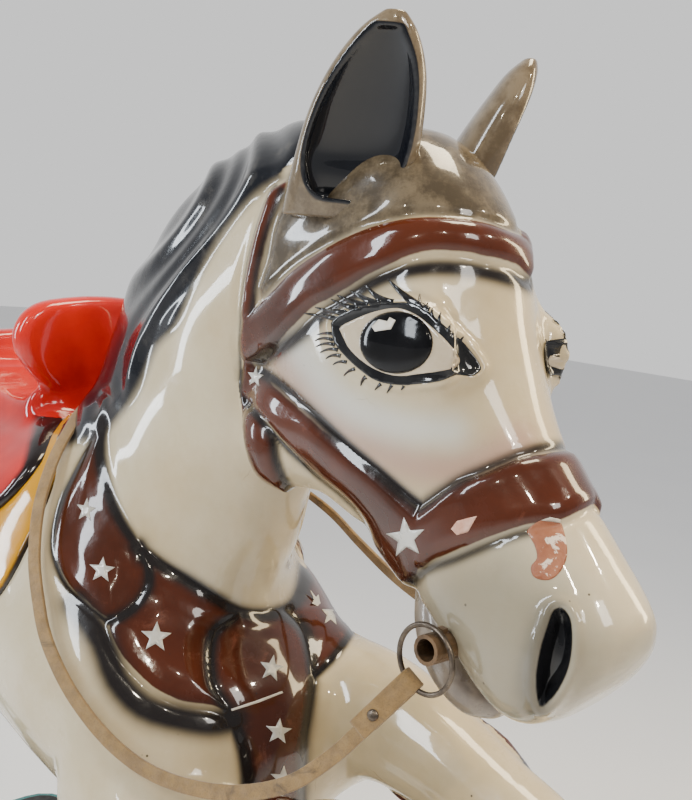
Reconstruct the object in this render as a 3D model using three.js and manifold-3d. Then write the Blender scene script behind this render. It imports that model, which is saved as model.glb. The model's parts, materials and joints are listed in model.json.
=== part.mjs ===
// Coin-operated galloping-horse kiddie ride: moulded two-part horse shell on a
// twin-crank rocking carriage, low base cabinet with drive, and a side coin box.
// Millimetres, +Z up, horse faces -Y, the horse's left side is +X.
import * as THREE from 'three';
import { mergeVertices } from 'three/addons/utils/BufferGeometryUtils.js';
import Module from 'manifold-3d';

const wasm = await Module();
wasm.setup();
const { Manifold, Mesh: MMesh } = wasm;

// ---------------------------------------------------------------- dimensions
const SHIFT_X = -67.5;       // moves the bounding box centre onto the origin
const SHIFT_Y = 33.26;
const GAP = 0.3;             // clearance left between neighbouring pieces
const WALL = 7;              // moulded shell wall
const RING = 20;             // points round a body section

const BASE_X = 260, BASE_Y0 = -480, BASE_Y1 = 440;   // base cabinet plan
const BASE_Z0 = 20, DECK_Z = 280, DECK_T = 6, MAT_T = 4;
const AXLE_Z = 160, THROW = 25;                        // crank axis height, throw
const CRANK_Y = [-190, 190];                           // the two crank axes
const SHAFT_R = 12, FIT = 0.4;
const POST_Y = [-110, 235], POST_R = 22;
const CRADLE_Z0 = 672, CRADLE_Z1 = 702;

const BIT_Y = -665, BIT_Z = 1014, BIT_R = 12, BIT_X = 81;
const RING_Y = -659.5, RING_Z = 1003.2, RING_R = 26.8, RING_WIRE = 2.2, RING_X = 73;

// ---------------------------------------------------------------- colours
const C = {
  cream: [0xe8e0cd, 0.18, 0.0], black: [0x17171a, 0.2, 0.0], red: [0xc8201a, 0.15, 0.0],
  yellow: [0xe8b91e, 0.2, 0.0], teal: [0x1d5a70, 0.3, 0.1], leather: [0xb58a50, 0.8, 0.0],
  steel: [0x8a8d90, 0.35, 0.9], rust: [0x6b4a34, 0.6, 0.7], dark: [0x303236, 0.5, 0.3],
  rubber: [0x1c1c1c, 0.85, 0.0], chrome: [0xd0d4d8, 0.12, 1.0], brass: [0xb08d3c, 0.3, 1.0],
  jaw: [0x5a4c38, 0.45, 0.0], grey: [0x5b6470, 0.4, 0.5], navy: [0x22324a, 0.35, 0.4],
};

const root = new THREE.Group();
root.name = 'kiddie_ride_horse';

// ---------------------------------------------------------------- helpers
function toManifold(geo) {
  const g = geo.clone();
  for (const k of Object.keys(g.attributes)) if (k !== 'position') g.deleteAttribute(k);
  const m = mergeVertices(g, 1e-4);
  const idx = Array.from(m.index.array), keep = [];
  for (let i = 0; i < idx.length; i += 3) {
    const [a, b, c] = [idx[i], idx[i + 1], idx[i + 2]];
    if (a !== b && b !== c && a !== c) keep.push(a, b, c);
  }
  const mesh = new MMesh({
    numProp: 3, vertProperties: new Float32Array(m.attributes.position.array),
    triVerts: new Uint32Array(keep),
  });
  const out = new Manifold(mesh);
  if (out.volume() <= 0) throw new Error('solid faces inwards');
  return out;
}
function toGeometry(man) {
  const m = man.getMesh();
  const g = new THREE.BufferGeometry();
  const p = new Float32Array(m.numVert * 3);
  for (let i = 0; i < m.numVert; i++)
    for (let k = 0; k < 3; k++) p[i * 3 + k] = m.vertProperties[i * m.numProp + k];
  g.setAttribute('position', new THREE.BufferAttribute(p, 3));
  g.setIndex(new THREE.BufferAttribute(new Uint32Array(m.triVerts), 1));
  return g;
}
function add(name, solid, col) {
  const g = solid.isBufferGeometry ? solid.clone() : toGeometry(solid);
  g.translate(SHIFT_X, SHIFT_Y, 0);
  const n = g.index ? g.toNonIndexed() : g;
  n.computeVertexNormals();
  const mat = new THREE.MeshStandardMaterial({ color: col[0], roughness: col[1], metalness: col[2] });
  const mesh = new THREE.Mesh(n, mat);
  mesh.name = name;
  root.add(mesh);
}
const union = (...a) => a.reduce((p, q) => p.add(q));
const cut = (a, ...b) => b.reduce((p, q) => p.subtract(q), a);

function box(x0, x1, y0, y1, z0, z1) {
  const g = new THREE.BoxGeometry(x1 - x0, y1 - y0, z1 - z0);
  g.translate((x0 + x1) / 2, (y0 + y1) / 2, (z0 + z1) / 2);
  return toManifold(g);
}
// cylinder along 'x', 'y' or 'z' from a to b, centred on the two other coordinates
function cyl(axis, r, a, b, u, v, seg = 16) {
  const g = new THREE.CylinderGeometry(r, r, b - a, seg);
  const m = (a + b) / 2;
  if (axis === 'x') { g.rotateZ(Math.PI / 2); g.translate(m, u, v); }
  if (axis === 'y') { g.translate(u, m, v); }
  if (axis === 'z') { g.rotateX(Math.PI / 2); g.translate(u, v, m); }
  return toManifold(g);
}
const holeR = (r, seg = 16) => (r + FIT) / Math.cos(Math.PI / seg);
// flat shape drawn in two coordinates, extruded along the third
function prism(axis, pts, a, b, bevel = 0, holes = []) {
  const s = new THREE.Shape(pts.map((p) => new THREE.Vector2(p[0], p[1])));
  for (const h of holes) s.holes.push(new THREE.Path(h.map((p) => new THREE.Vector2(p[0], p[1]))));
  const g = new THREE.ExtrudeGeometry(s, {
    depth: b - a - 2 * bevel, bevelEnabled: bevel > 0, bevelThickness: bevel,
    bevelSize: bevel, bevelOffset: -bevel, bevelSegments: 2, steps: 1,
  });
  g.translate(0, 0, a + bevel);
  const m = new THREE.Matrix4();
  if (axis === 'x') m.set(0, 0, 1, 0, 1, 0, 0, 0, 0, 1, 0, 0, 0, 0, 0, 1);   // (y,z) along x
  if (axis === 'y') { m.set(1, 0, 0, 0, 0, 0, -1, 0, 0, 1, 0, 0, 0, 0, 0, 1); g.translate(0, 0, -(a + b)); } // (x,z) along y
  if (axis !== 'z') g.applyMatrix4(m);
  return toManifold(g);
}
function roundRect(x0, x1, y0, y1, r, n = 3) {
  const out = [];
  for (const [cx, cy, a0] of [[x1 - r, y1 - r, 0], [x0 + r, y1 - r, 90], [x0 + r, y0 + r, 180], [x1 - r, y0 + r, 270]])
    for (let i = 0; i <= n; i++) {
      const a = (a0 + (90 * i) / n) * Math.PI / 180;
      out.push([cx + r * Math.cos(a), cy + r * Math.sin(a)]);
    }
  return out;
}
const circle = (cx, cy, r, n = 24) => Array.from({ length: n }, (_, i) => [cx + r * Math.cos(2 * Math.PI * i / n), cy + r * Math.sin(2 * Math.PI * i / n)]);

// closed loft through rings of equal point count
function loft(rings) {
  const n = rings[0].length, pos = [], idx = [];
  for (const r of rings) for (const p of r) pos.push(...p);
  for (let k = 0; k + 1 < rings.length; k++)
    for (let i = 0; i < n; i++) {
      const a = k * n + i, b = k * n + ((i + 1) % n), c = a + n, d = b + n;
      idx.push(a, b, d, a, d, c);
    }
  const cap = (k, flip) => {
    const c = [0, 0, 0];
    for (const p of rings[k]) for (let j = 0; j < 3; j++) c[j] += p[j] / n;
    const ci = pos.length / 3;
    pos.push(...c);
    for (let i = 0; i < n; i++) {
      const a = k * n + i, b = k * n + ((i + 1) % n);
      if (flip) idx.push(ci, b, a); else idx.push(ci, a, b);
    }
  };
  cap(0, true);
  cap(rings.length - 1, false);
  const g = new THREE.BufferGeometry();
  g.setAttribute('position', new THREE.BufferAttribute(new Float32Array(pos), 3));
  g.setIndex(idx);
  return g;
}
function loftSolid(rings) {
  let m;
  try { m = toManifold(loft(rings)); } catch (e) { m = toManifold(loft(rings.map((r) => [...r].reverse()))); }
  return m;
}
const spow = (v, e) => Math.sign(v) * Math.abs(v) ** e;
// section ring: c centre, X lateral unit, U up unit; w half width, t up, b down
function section(c, X, U, w, t, b, nTop, nBot, grow, count) {
  const out = [];
  for (let i = 0; i < count; i++) {
    const a = (2 * Math.PI * (i + 0.5)) / count;
    const s = Math.sin(a), co = Math.cos(a), n = s >= 0 ? nTop : nBot;
    const x = (w + grow) * spow(co, 2 / n), h = (s >= 0 ? t + grow : b + grow) * spow(s, 2 / n);
    out.push([c[0] + X[0] * x + U[0] * h, c[1] + X[1] * x + U[1] * h, c[2] + X[2] * x + U[2] * h]);
  }
  return out;
}
const unit = (v) => { const l = Math.hypot(...v); return v.map((q) => q / l); };
const cross = (a, b) => [a[1] * b[2] - a[2] * b[1], a[2] * b[0] - a[0] * b[2], a[0] * b[1] - a[1] * b[0]];

// ---------------------------------------------------------------- horse form
// torso stations: y, z of the widest line, half width, height above, depth below
const TORSO = [
  [562, 905, 34, 48, 50], [548, 905, 92, 100, 100], [500, 900, 148, 158, 150], [410, 892, 182, 190, 170],
  [300, 884, 190, 198, 168], [180, 876, 190, 204, 156], [60, 872, 188, 208, 150], [-60, 868, 186, 222, 150],
  [-150, 862, 187, 233, 152], [-230, 848, 186, 205, 152], [-300, 832, 178, 160, 146], [-350, 818, 164, 122, 138],
  [-395, 806, 138, 96, 126], [-428, 795, 100, 70, 106], [-447, 782, 52, 40, 62],
];
// neck stations: crest y,z  throat y,z  half width  share of height above the widest line
const NECK = [
  [-84, 1068, -322, 850, 122, 0.5], [-97, 1110, -338, 905, 108, 0.52], [-99, 1165, -368, 952, 97, 0.55],
  [-116, 1222, -392, 1000, 90, 0.57], [-150, 1276, -402, 1048, 85, 0.58], [-200, 1333, -412, 1092, 84, 0.58],
  [-262, 1380, -424, 1134, 80, 0.56], [-330, 1409, -442, 1172, 78, 0.55], [-400, 1426, -470, 1206, 76, 0.5],
  [-459, 1426, -508, 1240, 66, 0.5],
];
// head axis starts at HEAD0 and runs down and forward
const HEAD0 = [-470, 1290], HEAD_T = [-0.745, -0.667], HEAD_N = [-0.667, 0.745];
// s along the axis, top, widest line, bottom, half width, lower exponent
const HEAD = [
  [-58, 118, 20, -58, 66, 2.2], [-22, 143, 22, -98, 82, 2.2], [26, 149, 20, -126, 89, 2.3], [73, 142, 15, -143, 88, 2.4],
  [110, 126, 10, -147, 88, 2.5], [146, 104, 5, -140, 84, 2.6], [180, 87, 0, -127, 78, 2.6], [212, 74, -8, -114, 71, 2.6],
  [254, 64, -15, -105, 64, 2.7], [292, 60, -20, -99, 61, 3.0], [339, 56, -22, -92, 62, 3.4], [375, 52, -18, -88, 62, 3.2],
  [396, 46, -18, -82, 57, 3.0], [410, 30, -20, -70, 45, 2.6], [417, 8, -22, -50, 26, 2.2],
];
const headPt = (s, h, x = 0) => [x, HEAD0[0] + HEAD_T[0] * s + HEAD_N[0] * h, HEAD0[1] + HEAD_T[1] * s + HEAD_N[1] * h];

const torso = (g, n = RING) => loftSolid(TORSO.map(([y, z, w, t, b], i) =>
  section([0, y + (i === 0 ? g : i === TORSO.length - 1 ? -g : 0), z], [1, 0, 0], [0, 0, 1], w, t, b, 2.1, 2.2, g, n)));
const neck = (g, n = RING) => loftSolid((g < 0 ? NECK.slice(0, -1) : NECK).map(([cy, cz, ty, tz, w, m]) => {
  const d = Math.hypot(cy - ty, cz - tz), U = [0, (cy - ty) / d, (cz - tz) / d];
  const c = [0, cy - U[1] * d * m, cz - U[2] * d * m];
  return section(c, [1, 0, 0], U, w, d * m, d * (1 - m), 1.75, 2.1, g, n);
}));
const head = (g, n = RING) => loftSolid(HEAD.map(([s, t, m, b, w, nb], i) => {
  const e = i === 0 ? -g : i === HEAD.length - 1 ? g : 0;
  return section(headPt(s + e, m), [1, 0, 0], [0, HEAD_N[0], HEAD_N[1]], w, t - m, m - b, 2.2, nb, g, n);
}));
function ellipsoid(c, rx, ry, rz, rotX = 0, seg = 14, rows = 9) {
  const g = new THREE.SphereGeometry(1, seg, rows);
  g.rotateX(Math.PI / 2);
  g.scale(rx, ry, rz);
  g.rotateX(rotX);
  g.translate(...c);
  return toManifold(g);
}
// ear: leaf-shaped loft facing forward and outward, with a scooped dish
function ear(side) {
  const U = [0.707 * -side, 0.707, 0], F = [0.707 * side, -0.707, 0];   // back edge direction, facing
  const L = [[1338, 66, -505, 44, 27], [1378, 74, -526, 46, 28], [1418, 80, -541, 42, 24], [1452, 84, -554, 31, 17], [1477, 86, -562, 17, 10], [1490, 87, -567, 6, 4]];
  const W = [0.707 * side, 0.707, 0];
  const body = loftSolid(L.map(([z, x, y, hw, hd]) => section([side * x, y, z], W, F, hw, hd * 0.75, hd, 2, 2, 0, 14)));
  const dish = loftSolid([[1366, 76, -532, 26, 10], [1384, 78, -538, 33, 20], [1418, 83, -551, 31, 19], [1450, 87, -563, 21, 14], [1470, 89, -570, 8, 8]]
    .map(([z, x, y, hw, hd]) => section([side * (x + 4), y - 4, z], W, F, hw, hd, hd * 0.8, 2, 2, 0, 12)));
  return cut(body, dish);
}
const outer = union(torso(0), neck(0), head(0),
  ellipsoid([-76, -604, 1238], 24, 68, 36, 0.12), ellipsoid([76, -604, 1238], 24, 68, 36, 0.12),
  ear(-1), ear(1));
const inner = union(torso(-WALL, 14), neck(-WALL, 14), head(-WALL - 1, 14));
const bitHole = cyl('x', holeR(BIT_R), -120, 120, BIT_Y, BIT_Z);
const horse = cut(outer, inner, bitHole);
const FAR = 2000;
add('horse_shell_right', horse.intersect(box(-FAR, -GAP / 2, -FAR, FAR, 0, FAR)), C.cream);
add('horse_shell_left', horse.intersect(box(GAP / 2, FAR, -FAR, FAR, 0, FAR)), C.cream);

// grown body used to trim everything that seats on the shell
const trim = union(torso(GAP), neck(GAP), head(GAP));

// lower jaw, a separate moulding under the mouth
const JAW = [[262, -92, 22, 20], [290, -100, 36, 26], [322, -104, 42, 32], [352, -104, 42, 30], [376, -102, 34, 22], [388, -100, 18, 10]];
const jaw = loftSolid(JAW.map(([s, h, w, b], i) => section(headPt(s, h), [1, 0, 0], [0, HEAD_N[0], HEAD_N[1]], w, 22, b, 2.2, 2.2, 0, 18)));
add('lower_jaw', cut(jaw, head(GAP), bitHole), C.jaw);

// limbs: x, y, z, lateral half width, half thickness across the limb
function limb(L, n = 12) {
  const rings = L.map(([x, y, z, w, t], i) => {
    const a = L[Math.max(0, i - 1)], b = L[Math.min(L.length - 1, i + 1)];
    const T = unit([b[0] - a[0], b[1] - a[1], b[2] - a[2]]);
    const U = unit(cross(T, [1, 0, 0]));
    const X = unit(cross(U, T));
    return section([x, y, z], X, U, w, t, t, 2.1, 2.1, 0, n);
  });
  return loftSolid(rings);
}
const FORE_L = [[100, -330, 800, 62, 84], [112, -395, 815, 66, 82], [115, -455, 828, 58, 68], [116, -530, 822, 50, 56], [117, -610, 802, 44, 48], [118, -672, 784, 42, 46], [119, -712, 752, 38, 42],
  [119, -728, 706, 28, 30], [119, -728, 655, 24, 25], [119, -724, 612, 29, 31], [119, -730, 584, 36, 40], [119, -734, 556, 41, 46]];
const FORE_R = [[-108, -320, 760, 66, 84], [-116, -380, 742, 64, 74], [-112, -440, 742, 54, 60], [-98, -505, 762, 48, 52], [-82, -560, 790, 43, 46], [-74, -596, 806, 42, 44], [-72, -622, 780, 38, 38],
  [-74, -602, 730, 28, 29], [-78, -560, 680, 24, 25], [-82, -522, 646, 29, 30], [-84, -492, 632, 36, 36], [-86, -462, 618, 40, 42]];
const HIND = [[112, 420, 870, 70, 112], [124, 436, 790, 72, 104], [130, 432, 712, 62, 84], [130, 452, 650, 48, 58], [128, 500, 590, 36, 42], [126, 538, 552, 30, 37], [125, 548, 506, 25, 28],
  [124, 552, 466, 28, 31], [124, 548, 440, 36, 40], [124, 544, 412, 41, 46]];
const trimTorso = torso(GAP);
add('foreleg_left', cut(limb(FORE_L), trimTorso), C.cream);
add('foreleg_right', cut(limb(FORE_R), trimTorso), C.cream);
add('hindleg_left', cut(limb(HIND), trimTorso), C.cream);
add('hindleg_right', cut(limb(HIND.map(([x, ...r]) => [-x, ...r])), trimTorso), C.cream);

// tail, bonded to the croup
const TAIL = [[530, 985, 20, 22], [575, 1012, 26, 26], [622, 1004, 34, 32], [662, 960, 40, 38], [684, 890, 44, 42], [690, 815, 42, 40], [684, 740, 32, 30], [672, 680, 16, 16], [668, 652, 5, 5]];
add('tail', cut(limb(TAIL.map(([y, z, w, t]) => [0, y, z, w, t])), trimTorso), C.black);

// blanket and saddle follow the back
const BLANKET = [[-80, 1160], [-104, 1098], [-140, 1078], [-176, 1040], [-194, 985], [-186, 930], [-150, 893], [-90, 872], [30, 866], [140, 870], [205, 893], [236, 950], [240, 1020], [232, 1160]];
const SKIRT = [[-52, 1160], [-60, 1098], [-104, 1076], [-142, 1048], [-140, 1012], [-104, 978], [-40, 958], [60, 950], [140, 966], [186, 1010], [200, 1060], [200, 1160]];
const skin = (g1, g0, poly) => cut(torso(g1), torso(g0)).intersect(prism('x', poly, -300, 300));
const neckTrim = neck(GAP + 0.5);
add('saddle_blanket', cut(skin(5, GAP, BLANKET), neckTrim, box(-300, 300, -300, 300, 0, 800)), C.yellow);
const POMMEL = [[-46, 1078], [-60, 1104], [-92, 1128], [-114, 1156], [-118, 1176], [-110, 1198], [-92, 1213], [-60, 1221], [0, 1226],
  [60, 1221], [92, 1213], [110, 1198], [118, 1176], [114, 1156], [92, 1128], [60, 1104], [46, 1078]];
const CANTLE = [[-120, 1040], [-132, 1080], [-120, 1120], [-84, 1148], [-30, 1160], [30, 1160], [84, 1148], [120, 1120], [132, 1080], [120, 1040]];
const SEAT = [[-50, 1060], [-50, 1112], [-24, 1102], [20, 1096], [80, 1101], [130, 1116], [165, 1140], [165, 1060]];
const seatPad = prism('x', SEAT, -96, 96, 8);
const stud = (s) => cyl('x', 10, s < 0 ? -206.8 : 150, s < 0 ? -150 : 206.8, 15, 985);
const saddle = cut(union(skin(14, 5.3, SKIRT), stud(-1), stud(1), prism('y', POMMEL, -60, -28, 9), prism('y', CANTLE, 150, 184, 9), seatPad),
  torso(5.3), neckTrim);
add('saddle', saddle.intersect(box(-FAR, FAR, -FAR, FAR, 900, FAR)), C.red);

// ---------------------------------------------------------------- bit, rings, rein
const bitTube = cut(union(cyl('x', BIT_R, -BIT_X, BIT_X, BIT_Y, BIT_Z), box(-BIT_X + 14, -BIT_X + 20, BIT_Y - 3, BIT_Y + 3, BIT_Z + 10, BIT_Z + 15),
  box(BIT_X - 20, BIT_X - 14, BIT_Y - 3, BIT_Y + 3, BIT_Z + 10, BIT_Z + 15)), cyl('x', 8.8, -200, 200, BIT_Y, BIT_Z));
add('bit_tube', bitTube, C.rust);
function ringAt(x, y, z, R, r) {
  const prof = [];
  for (let i = 0; i <= 6; i++) { const a = (2 * Math.PI * i) / 6; prof.push(new THREE.Vector2(R + r * Math.cos(a), r * Math.sin(a))); }
  const g = new THREE.LatheGeometry(prof, 22);
  g.rotateZ(Math.PI / 2);
  g.translate(x, y, z);
  return toManifold(g);
}
add('rein_ring_right', ringAt(-RING_X, RING_Y, RING_Z, RING_R, RING_WIRE), C.rust);
add('rein_ring_left', ringAt(RING_X, RING_Y, RING_Z, RING_R, RING_WIRE), C.rust);

// rein: one flat strap from the right ring, over the withers, to the left ring
// x, y, z of the centre line and the direction its flat face looks
const STRAP_W = 14, STRAP_T = 4.4;
const REIN = [
  [-75, -644.4, 977.1, -1, 0, 0], [-77, -638, 966, -1, 0, 0], [-81, -628, 950, -1, -0.1, 0.1], [-88, -615, 930, -1, -0.2, 0.2], [-97, -597, 904, -0.95, -0.2, 0.3],
  [-112, -568, 872, -0.9, -0.2, 0.4], [-126, -527, 848, -0.9, -0.2, 0.4], [-140, -480, 834, -0.9, -0.25, 0.35], [-154, -427, 830, -0.9, -0.35, 0.25], [-167, -380, 842, -0.88, -0.4, 0.25],
  [-178, -333, 868, -0.9, -0.35, 0.28], [-183, -302, 893, -0.9, -0.3, 0.3], [-184, -280, 914, -0.9, -0.28, 0.33], [-181, -259, 938, -0.88, -0.28, 0.38], [-172, -228, 972, -0.85, -0.25, 0.48],
  [-155, -199, 1017, -0.78, -0.25, 0.6], [-128, -172, 1057, -0.6, -0.2, 0.77], [-98, -147, 1084, -0.45, -0.15, 0.88], [-66, -118, 1102, -0.3, -0.05, 0.95], [-34, -91, 1109, -0.12, 0, 1],
  [0, -80, 1109, 0, 0, 1], [34, -91, 1109, 0.12, 0, 1], [66, -118, 1102, 0.3, -0.05, 0.95], [100, -150, 1082, 0.45, -0.15, 0.88], [134, -190, 1052, 0.65, -0.2, 0.73],
  [160, -240, 1024, 0.82, -0.2, 0.52], [168, -295, 1004, 0.9, -0.25, 0.35], [153, -361, 987, 0.92, -0.2, 0.3], [128, -446, 973, 0.95, -0.15, 0.25], [104, -545, 966, 1, 0, 0.1],
  [88, -610, 966, 1, 0, 0], [79, -634, 970, 1, 0, 0], [75, -644.2, 976.8, 1, 0, 0],
];
function strapSweep(pts, w, t, steps) {
  const path = new THREE.CatmullRomCurve3(pts.map((p) => new THREE.Vector3(p[0], p[1], p[2])), false, 'centripetal');
  const rings = [], n = pts.length - 1;
  for (let i = 0; i <= steps; i++) {
    const u = i / steps, k = Math.min(n - 1, Math.floor(u * n)), f = u * n - k;
    const c = path.getPoint(u), T = path.getTangent(u);
    const N = new THREE.Vector3(...[3, 4, 5].map((j) => pts[k][j] * (1 - f) + pts[k + 1][j] * f));
    N.addScaledVector(T, -N.dot(T)).normalize();
    const B = new THREE.Vector3().crossVectors(T, N).normalize();
    const e = 1.2, sec = [[w / 2, t / 2 - e], [w / 2 - e, t / 2], [-w / 2 + e, t / 2], [-w / 2, t / 2 - e], [-w / 2, -t / 2 + e], [-w / 2 + e, -t / 2], [w / 2 - e, -t / 2], [w / 2, -t / 2 + e]];
    rings.push(sec.map(([a, b]) => [c.x + B.x * a + N.x * b, c.y + B.y * a + N.y * b, c.z + B.z * a + N.z * b]));
  }
  return loftSolid(rings);
}
add('rein_strap', strapSweep(REIN, STRAP_W, STRAP_T, 56), C.leather);

// ---------------------------------------------------------------- cradle and carriage
add('mount_cradle', union(box(-45, 45, -165, 290, CRADLE_Z0, CRADLE_Z1), box(-70, 70, -150, -70, CRADLE_Z1 - 8, CRADLE_Z1), box(-70, 70, 195, 275, CRADLE_Z1 - 8, CRADLE_Z1)), C.teal);
add('belly_block_front', cut(box(-68, 68, -148, -72, CRADLE_Z1 + GAP, 760), trimTorso).intersect(box(-FAR, FAR, -FAR, FAR, 0, 736)), C.rubber);
add('belly_block_rear', cut(box(-68, 68, 197, 273, CRADLE_Z1 + GAP, 760), trimTorso).intersect(box(-FAR, FAR, -FAR, FAR, 0, 744)), C.rubber);
const pinZ = AXLE_Z - THROW;
const beam = cut(union(box(-27, 27, CRANK_Y[0], 268, pinZ - 22, pinZ + 22), cyl('x', 26, -27, 27, CRANK_Y[0], pinZ)),
  cyl('x', holeR(SHAFT_R), -60, 60, CRANK_Y[0], pinZ), cyl('x', holeR(SHAFT_R) + 0.3, -60, 60, CRANK_Y[1], pinZ));
add('carriage_beam', beam, C.navy);
POST_Y.forEach((y, i) => add(`carriage_post_${['front', 'rear'][i]}`,
  cut(union(cyl('z', POST_R, pinZ + 22 + GAP, CRADLE_Z0 - GAP, 0, y), box(-27, 27, y - 30, y + 30, pinZ + 22 + GAP, pinZ + 30)), cyl('z', POST_R - 5, 0, 900, 0, y)), C.chrome));

// cranks: two journals, two web discs and an offset pin
function crank(y, xl, xr) {
  return union(cyl('x', SHAFT_R, xl, -40, y, AXLE_Z), cyl('x', SHAFT_R, 40, xr, y, AXLE_Z),
    cyl('x', 44, -41, -29, y, AXLE_Z, 20), cyl('x', 44, 29, 41, y, AXLE_Z, 20), cyl('x', SHAFT_R, -30, 30, y, pinZ));
}
add('crank_front', crank(CRANK_Y[0], -140, 146), C.steel);
add('crank_rear', crank(CRANK_Y[1], -140, 112), C.steel);

function sprocket(x0, x1, y, z, r, teeth, bore) {
  const pts = [];
  for (let i = 0; i < teeth; i++) {
    const a = (2 * Math.PI * i) / teeth, d = (2 * Math.PI) / teeth;
    pts.push([y + (r - 5) * Math.cos(a), z + (r - 5) * Math.sin(a)], [y + r * Math.cos(a + d * 0.38), z + r * Math.sin(a + d * 0.38)], [y + r * Math.cos(a + d * 0.62), z + r * Math.sin(a + d * 0.62)]);
  }
  return cut(union(prism('x', pts, x0, x1), cyl('x', bore + 9, x0 - 6, x1 + 6, y, z)), cyl('x', bore, x0 - 20, x1 + 20, y, z));
}
const SB = (SHAFT_R + 0.2) / Math.cos(Math.PI / 16);
const OUT_Y = 20, OUT_R = 29, DRV_R = 58, SYNC_R = 46, CHAIN_X = 125;
add('drive_sprocket', sprocket(CHAIN_X, CHAIN_X + 5, CRANK_Y[0], AXLE_Z, DRV_R, 18, SB), C.dark);
add('sync_sprocket_front', sprocket(-CHAIN_X - 5, -CHAIN_X, CRANK_Y[0], AXLE_Z, SYNC_R, 14, SB), C.dark);
add('sync_sprocket_rear', sprocket(-CHAIN_X - 5, -CHAIN_X, CRANK_Y[1], AXLE_Z, SYNC_R, 14, SB), C.dark);
add('output_sprocket', union(sprocket(CHAIN_X, CHAIN_X + 5, OUT_Y, AXLE_Z, OUT_R, 9, 9), cyl('x', 9.2, CHAIN_X - 8, 150, OUT_Y, AXLE_Z)), C.dark);
// chain loops round two wheels, just clear of the teeth
function chainLoop(x0, x1, y1, r1, y2, r2, z, t) {
  const loopPts = (g) => {
    const a = Math.acos((r1 - r2) / (y2 - y1)), out = [], n = 10;
    for (let i = 0; i <= n; i++) { const q = a + ((2 * Math.PI - 2 * a) * i) / n; out.push([y1 + (r1 + g) * Math.cos(q), z + (r1 + g) * Math.sin(q)]); }
    for (let i = 0; i <= n; i++) { const q = -a + (2 * a * i) / n; out.push([y2 + (r2 + g) * Math.cos(q), z + (r2 + g) * Math.sin(q)]); }
    return out;
  };
  return cut(prism('x', loopPts(t), x0, x1), prism('x', loopPts(0), x0 - 5, x1 + 5));
}
const K = 1 / Math.cos(Math.PI / 18);
add('drive_chain', chainLoop(CHAIN_X - 2, CHAIN_X + 7, CRANK_Y[0], (DRV_R + 0.6) * K, OUT_Y, (OUT_R + 0.6) * K, AXLE_Z, 7), C.grey);
add('sync_chain', chainLoop(-CHAIN_X - 7, -CHAIN_X + 2, CRANK_Y[0], (SYNC_R + 0.6) * K, CRANK_Y[1], (SYNC_R + 0.6) * K, AXLE_Z, 7), C.grey);

// bearing stands on the floor pan
const PAN_Z = 31;
for (const [n, y] of [['front', CRANK_Y[0]], ['rear', CRANK_Y[1]]])
  for (const [s, x0] of [['right', -104], ['left', 74]]) {
    const prof = [[y - 44, PAN_Z + GAP], [y + 44, PAN_Z + GAP], [y + 44, PAN_Z + 14], [y + 30, PAN_Z + 26]];
    for (let i = 0; i <= 7; i++) { const a = (Math.PI * i) / 7; prof.push([y + 30 * Math.cos(a), AXLE_Z + 30 * Math.sin(a)]); }
    prof.push([y - 30, PAN_Z + 26], [y - 44, PAN_Z + 14]);
    add(`bearing_stand_${n}_${s}`, cut(prism('x', prof, x0, x0 + 30), cyl('x', holeR(SHAFT_R), -300, 300, y, AXLE_Z)), C.grey);
  }

// gearmotor: worm gearbox and finned motor
const gearbox = cut(union(prism('x', roundRect(-45, 85, 62, 222, 18), 142, 232, 4), cyl('x', 30, 138, 150, OUT_Y, AXLE_Z), box(148, 226, -60, 100, PAN_Z + GAP, 66)),
  cyl('x', holeR(9.2), 100, 215, OUT_Y, AXLE_Z));
add('gearbox', gearbox, C.grey);
let motor = cyl('y', 54, 85.5, 268, 187, 142, 20);
for (let i = 0; i < 3; i++) motor = motor.add(cyl('y', 59, 104 + i * 54, 130 + i * 54, 187, 142, 20));
motor = union(motor, box(160, 214, 110, 230, PAN_Z + GAP, 100), box(172, 202, 150, 220, 190, 214));
add('drive_motor', motor, C.navy);

// ---------------------------------------------------------------- base cabinet
const plan = (g, r = 60) => roundRect(-BASE_X + g, BASE_X - g, BASE_Y0 + g, BASE_Y1 - g, r - g, 4);
const HATCH = [-40, 170, 70, 230];   // y and z of the service opening, right side
const BOX_Y0 = 40, BOX_Y1 = 220;       // coin box span along the cabinet
const skirt = cut(prism('z', plan(0), BASE_Z0, DECK_Z), prism('z', plan(6), BASE_Z0 - 10, DECK_Z + 10),
  box(-BASE_X - 20, -BASE_X + 20, HATCH[0] - 1, HATCH[1] + 1, HATCH[2] - 1, HATCH[3] + 1),
  cyl('x', 26, BASE_X - 20, BASE_X + 20, 130, 150), cyl('y', 12, BASE_Y1 - 20, BASE_Y1 + 20, -150, 90));
// rolled foot band round the cabinet
const band = cut(prism('z', roundRect(-BASE_X - 6, BASE_X + 1.6, BASE_Y0 - 6, BASE_Y1 + 6, 66, 4), BASE_Z0, BASE_Z0 + 34), prism('z', plan(-0.5), BASE_Z0 - 10, DECK_Z));
add('base_skirt', skirt, C.teal);
add('base_kick_band', band, C.red);
add('base_pan', cut(prism('z', plan(8), PAN_Z - 6, PAN_Z), ...[[-200, -420], [200, -420], [-200, 380], [200, 380]].map(([x, y]) => cyl('z', 5, 0, 60, x, y, 12))), C.grey);
const slots = POST_Y.map((y) => prism('z', roundRect(-27, 27, y - 52, y + 52, 26), DECK_Z - 20, DECK_Z + 40));
add('deck_plate', cut(prism('z', plan(0), DECK_Z + GAP, DECK_Z + DECK_T), ...slots), C.teal);
const matHoles = POST_Y.map((y) => prism('z', roundRect(-36, 36, y - 62, y + 62, 30), DECK_Z - 20, DECK_Z + 40));
let mat = prism('z', plan(14), DECK_Z + DECK_T + GAP, DECK_Z + DECK_T + MAT_T);
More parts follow.
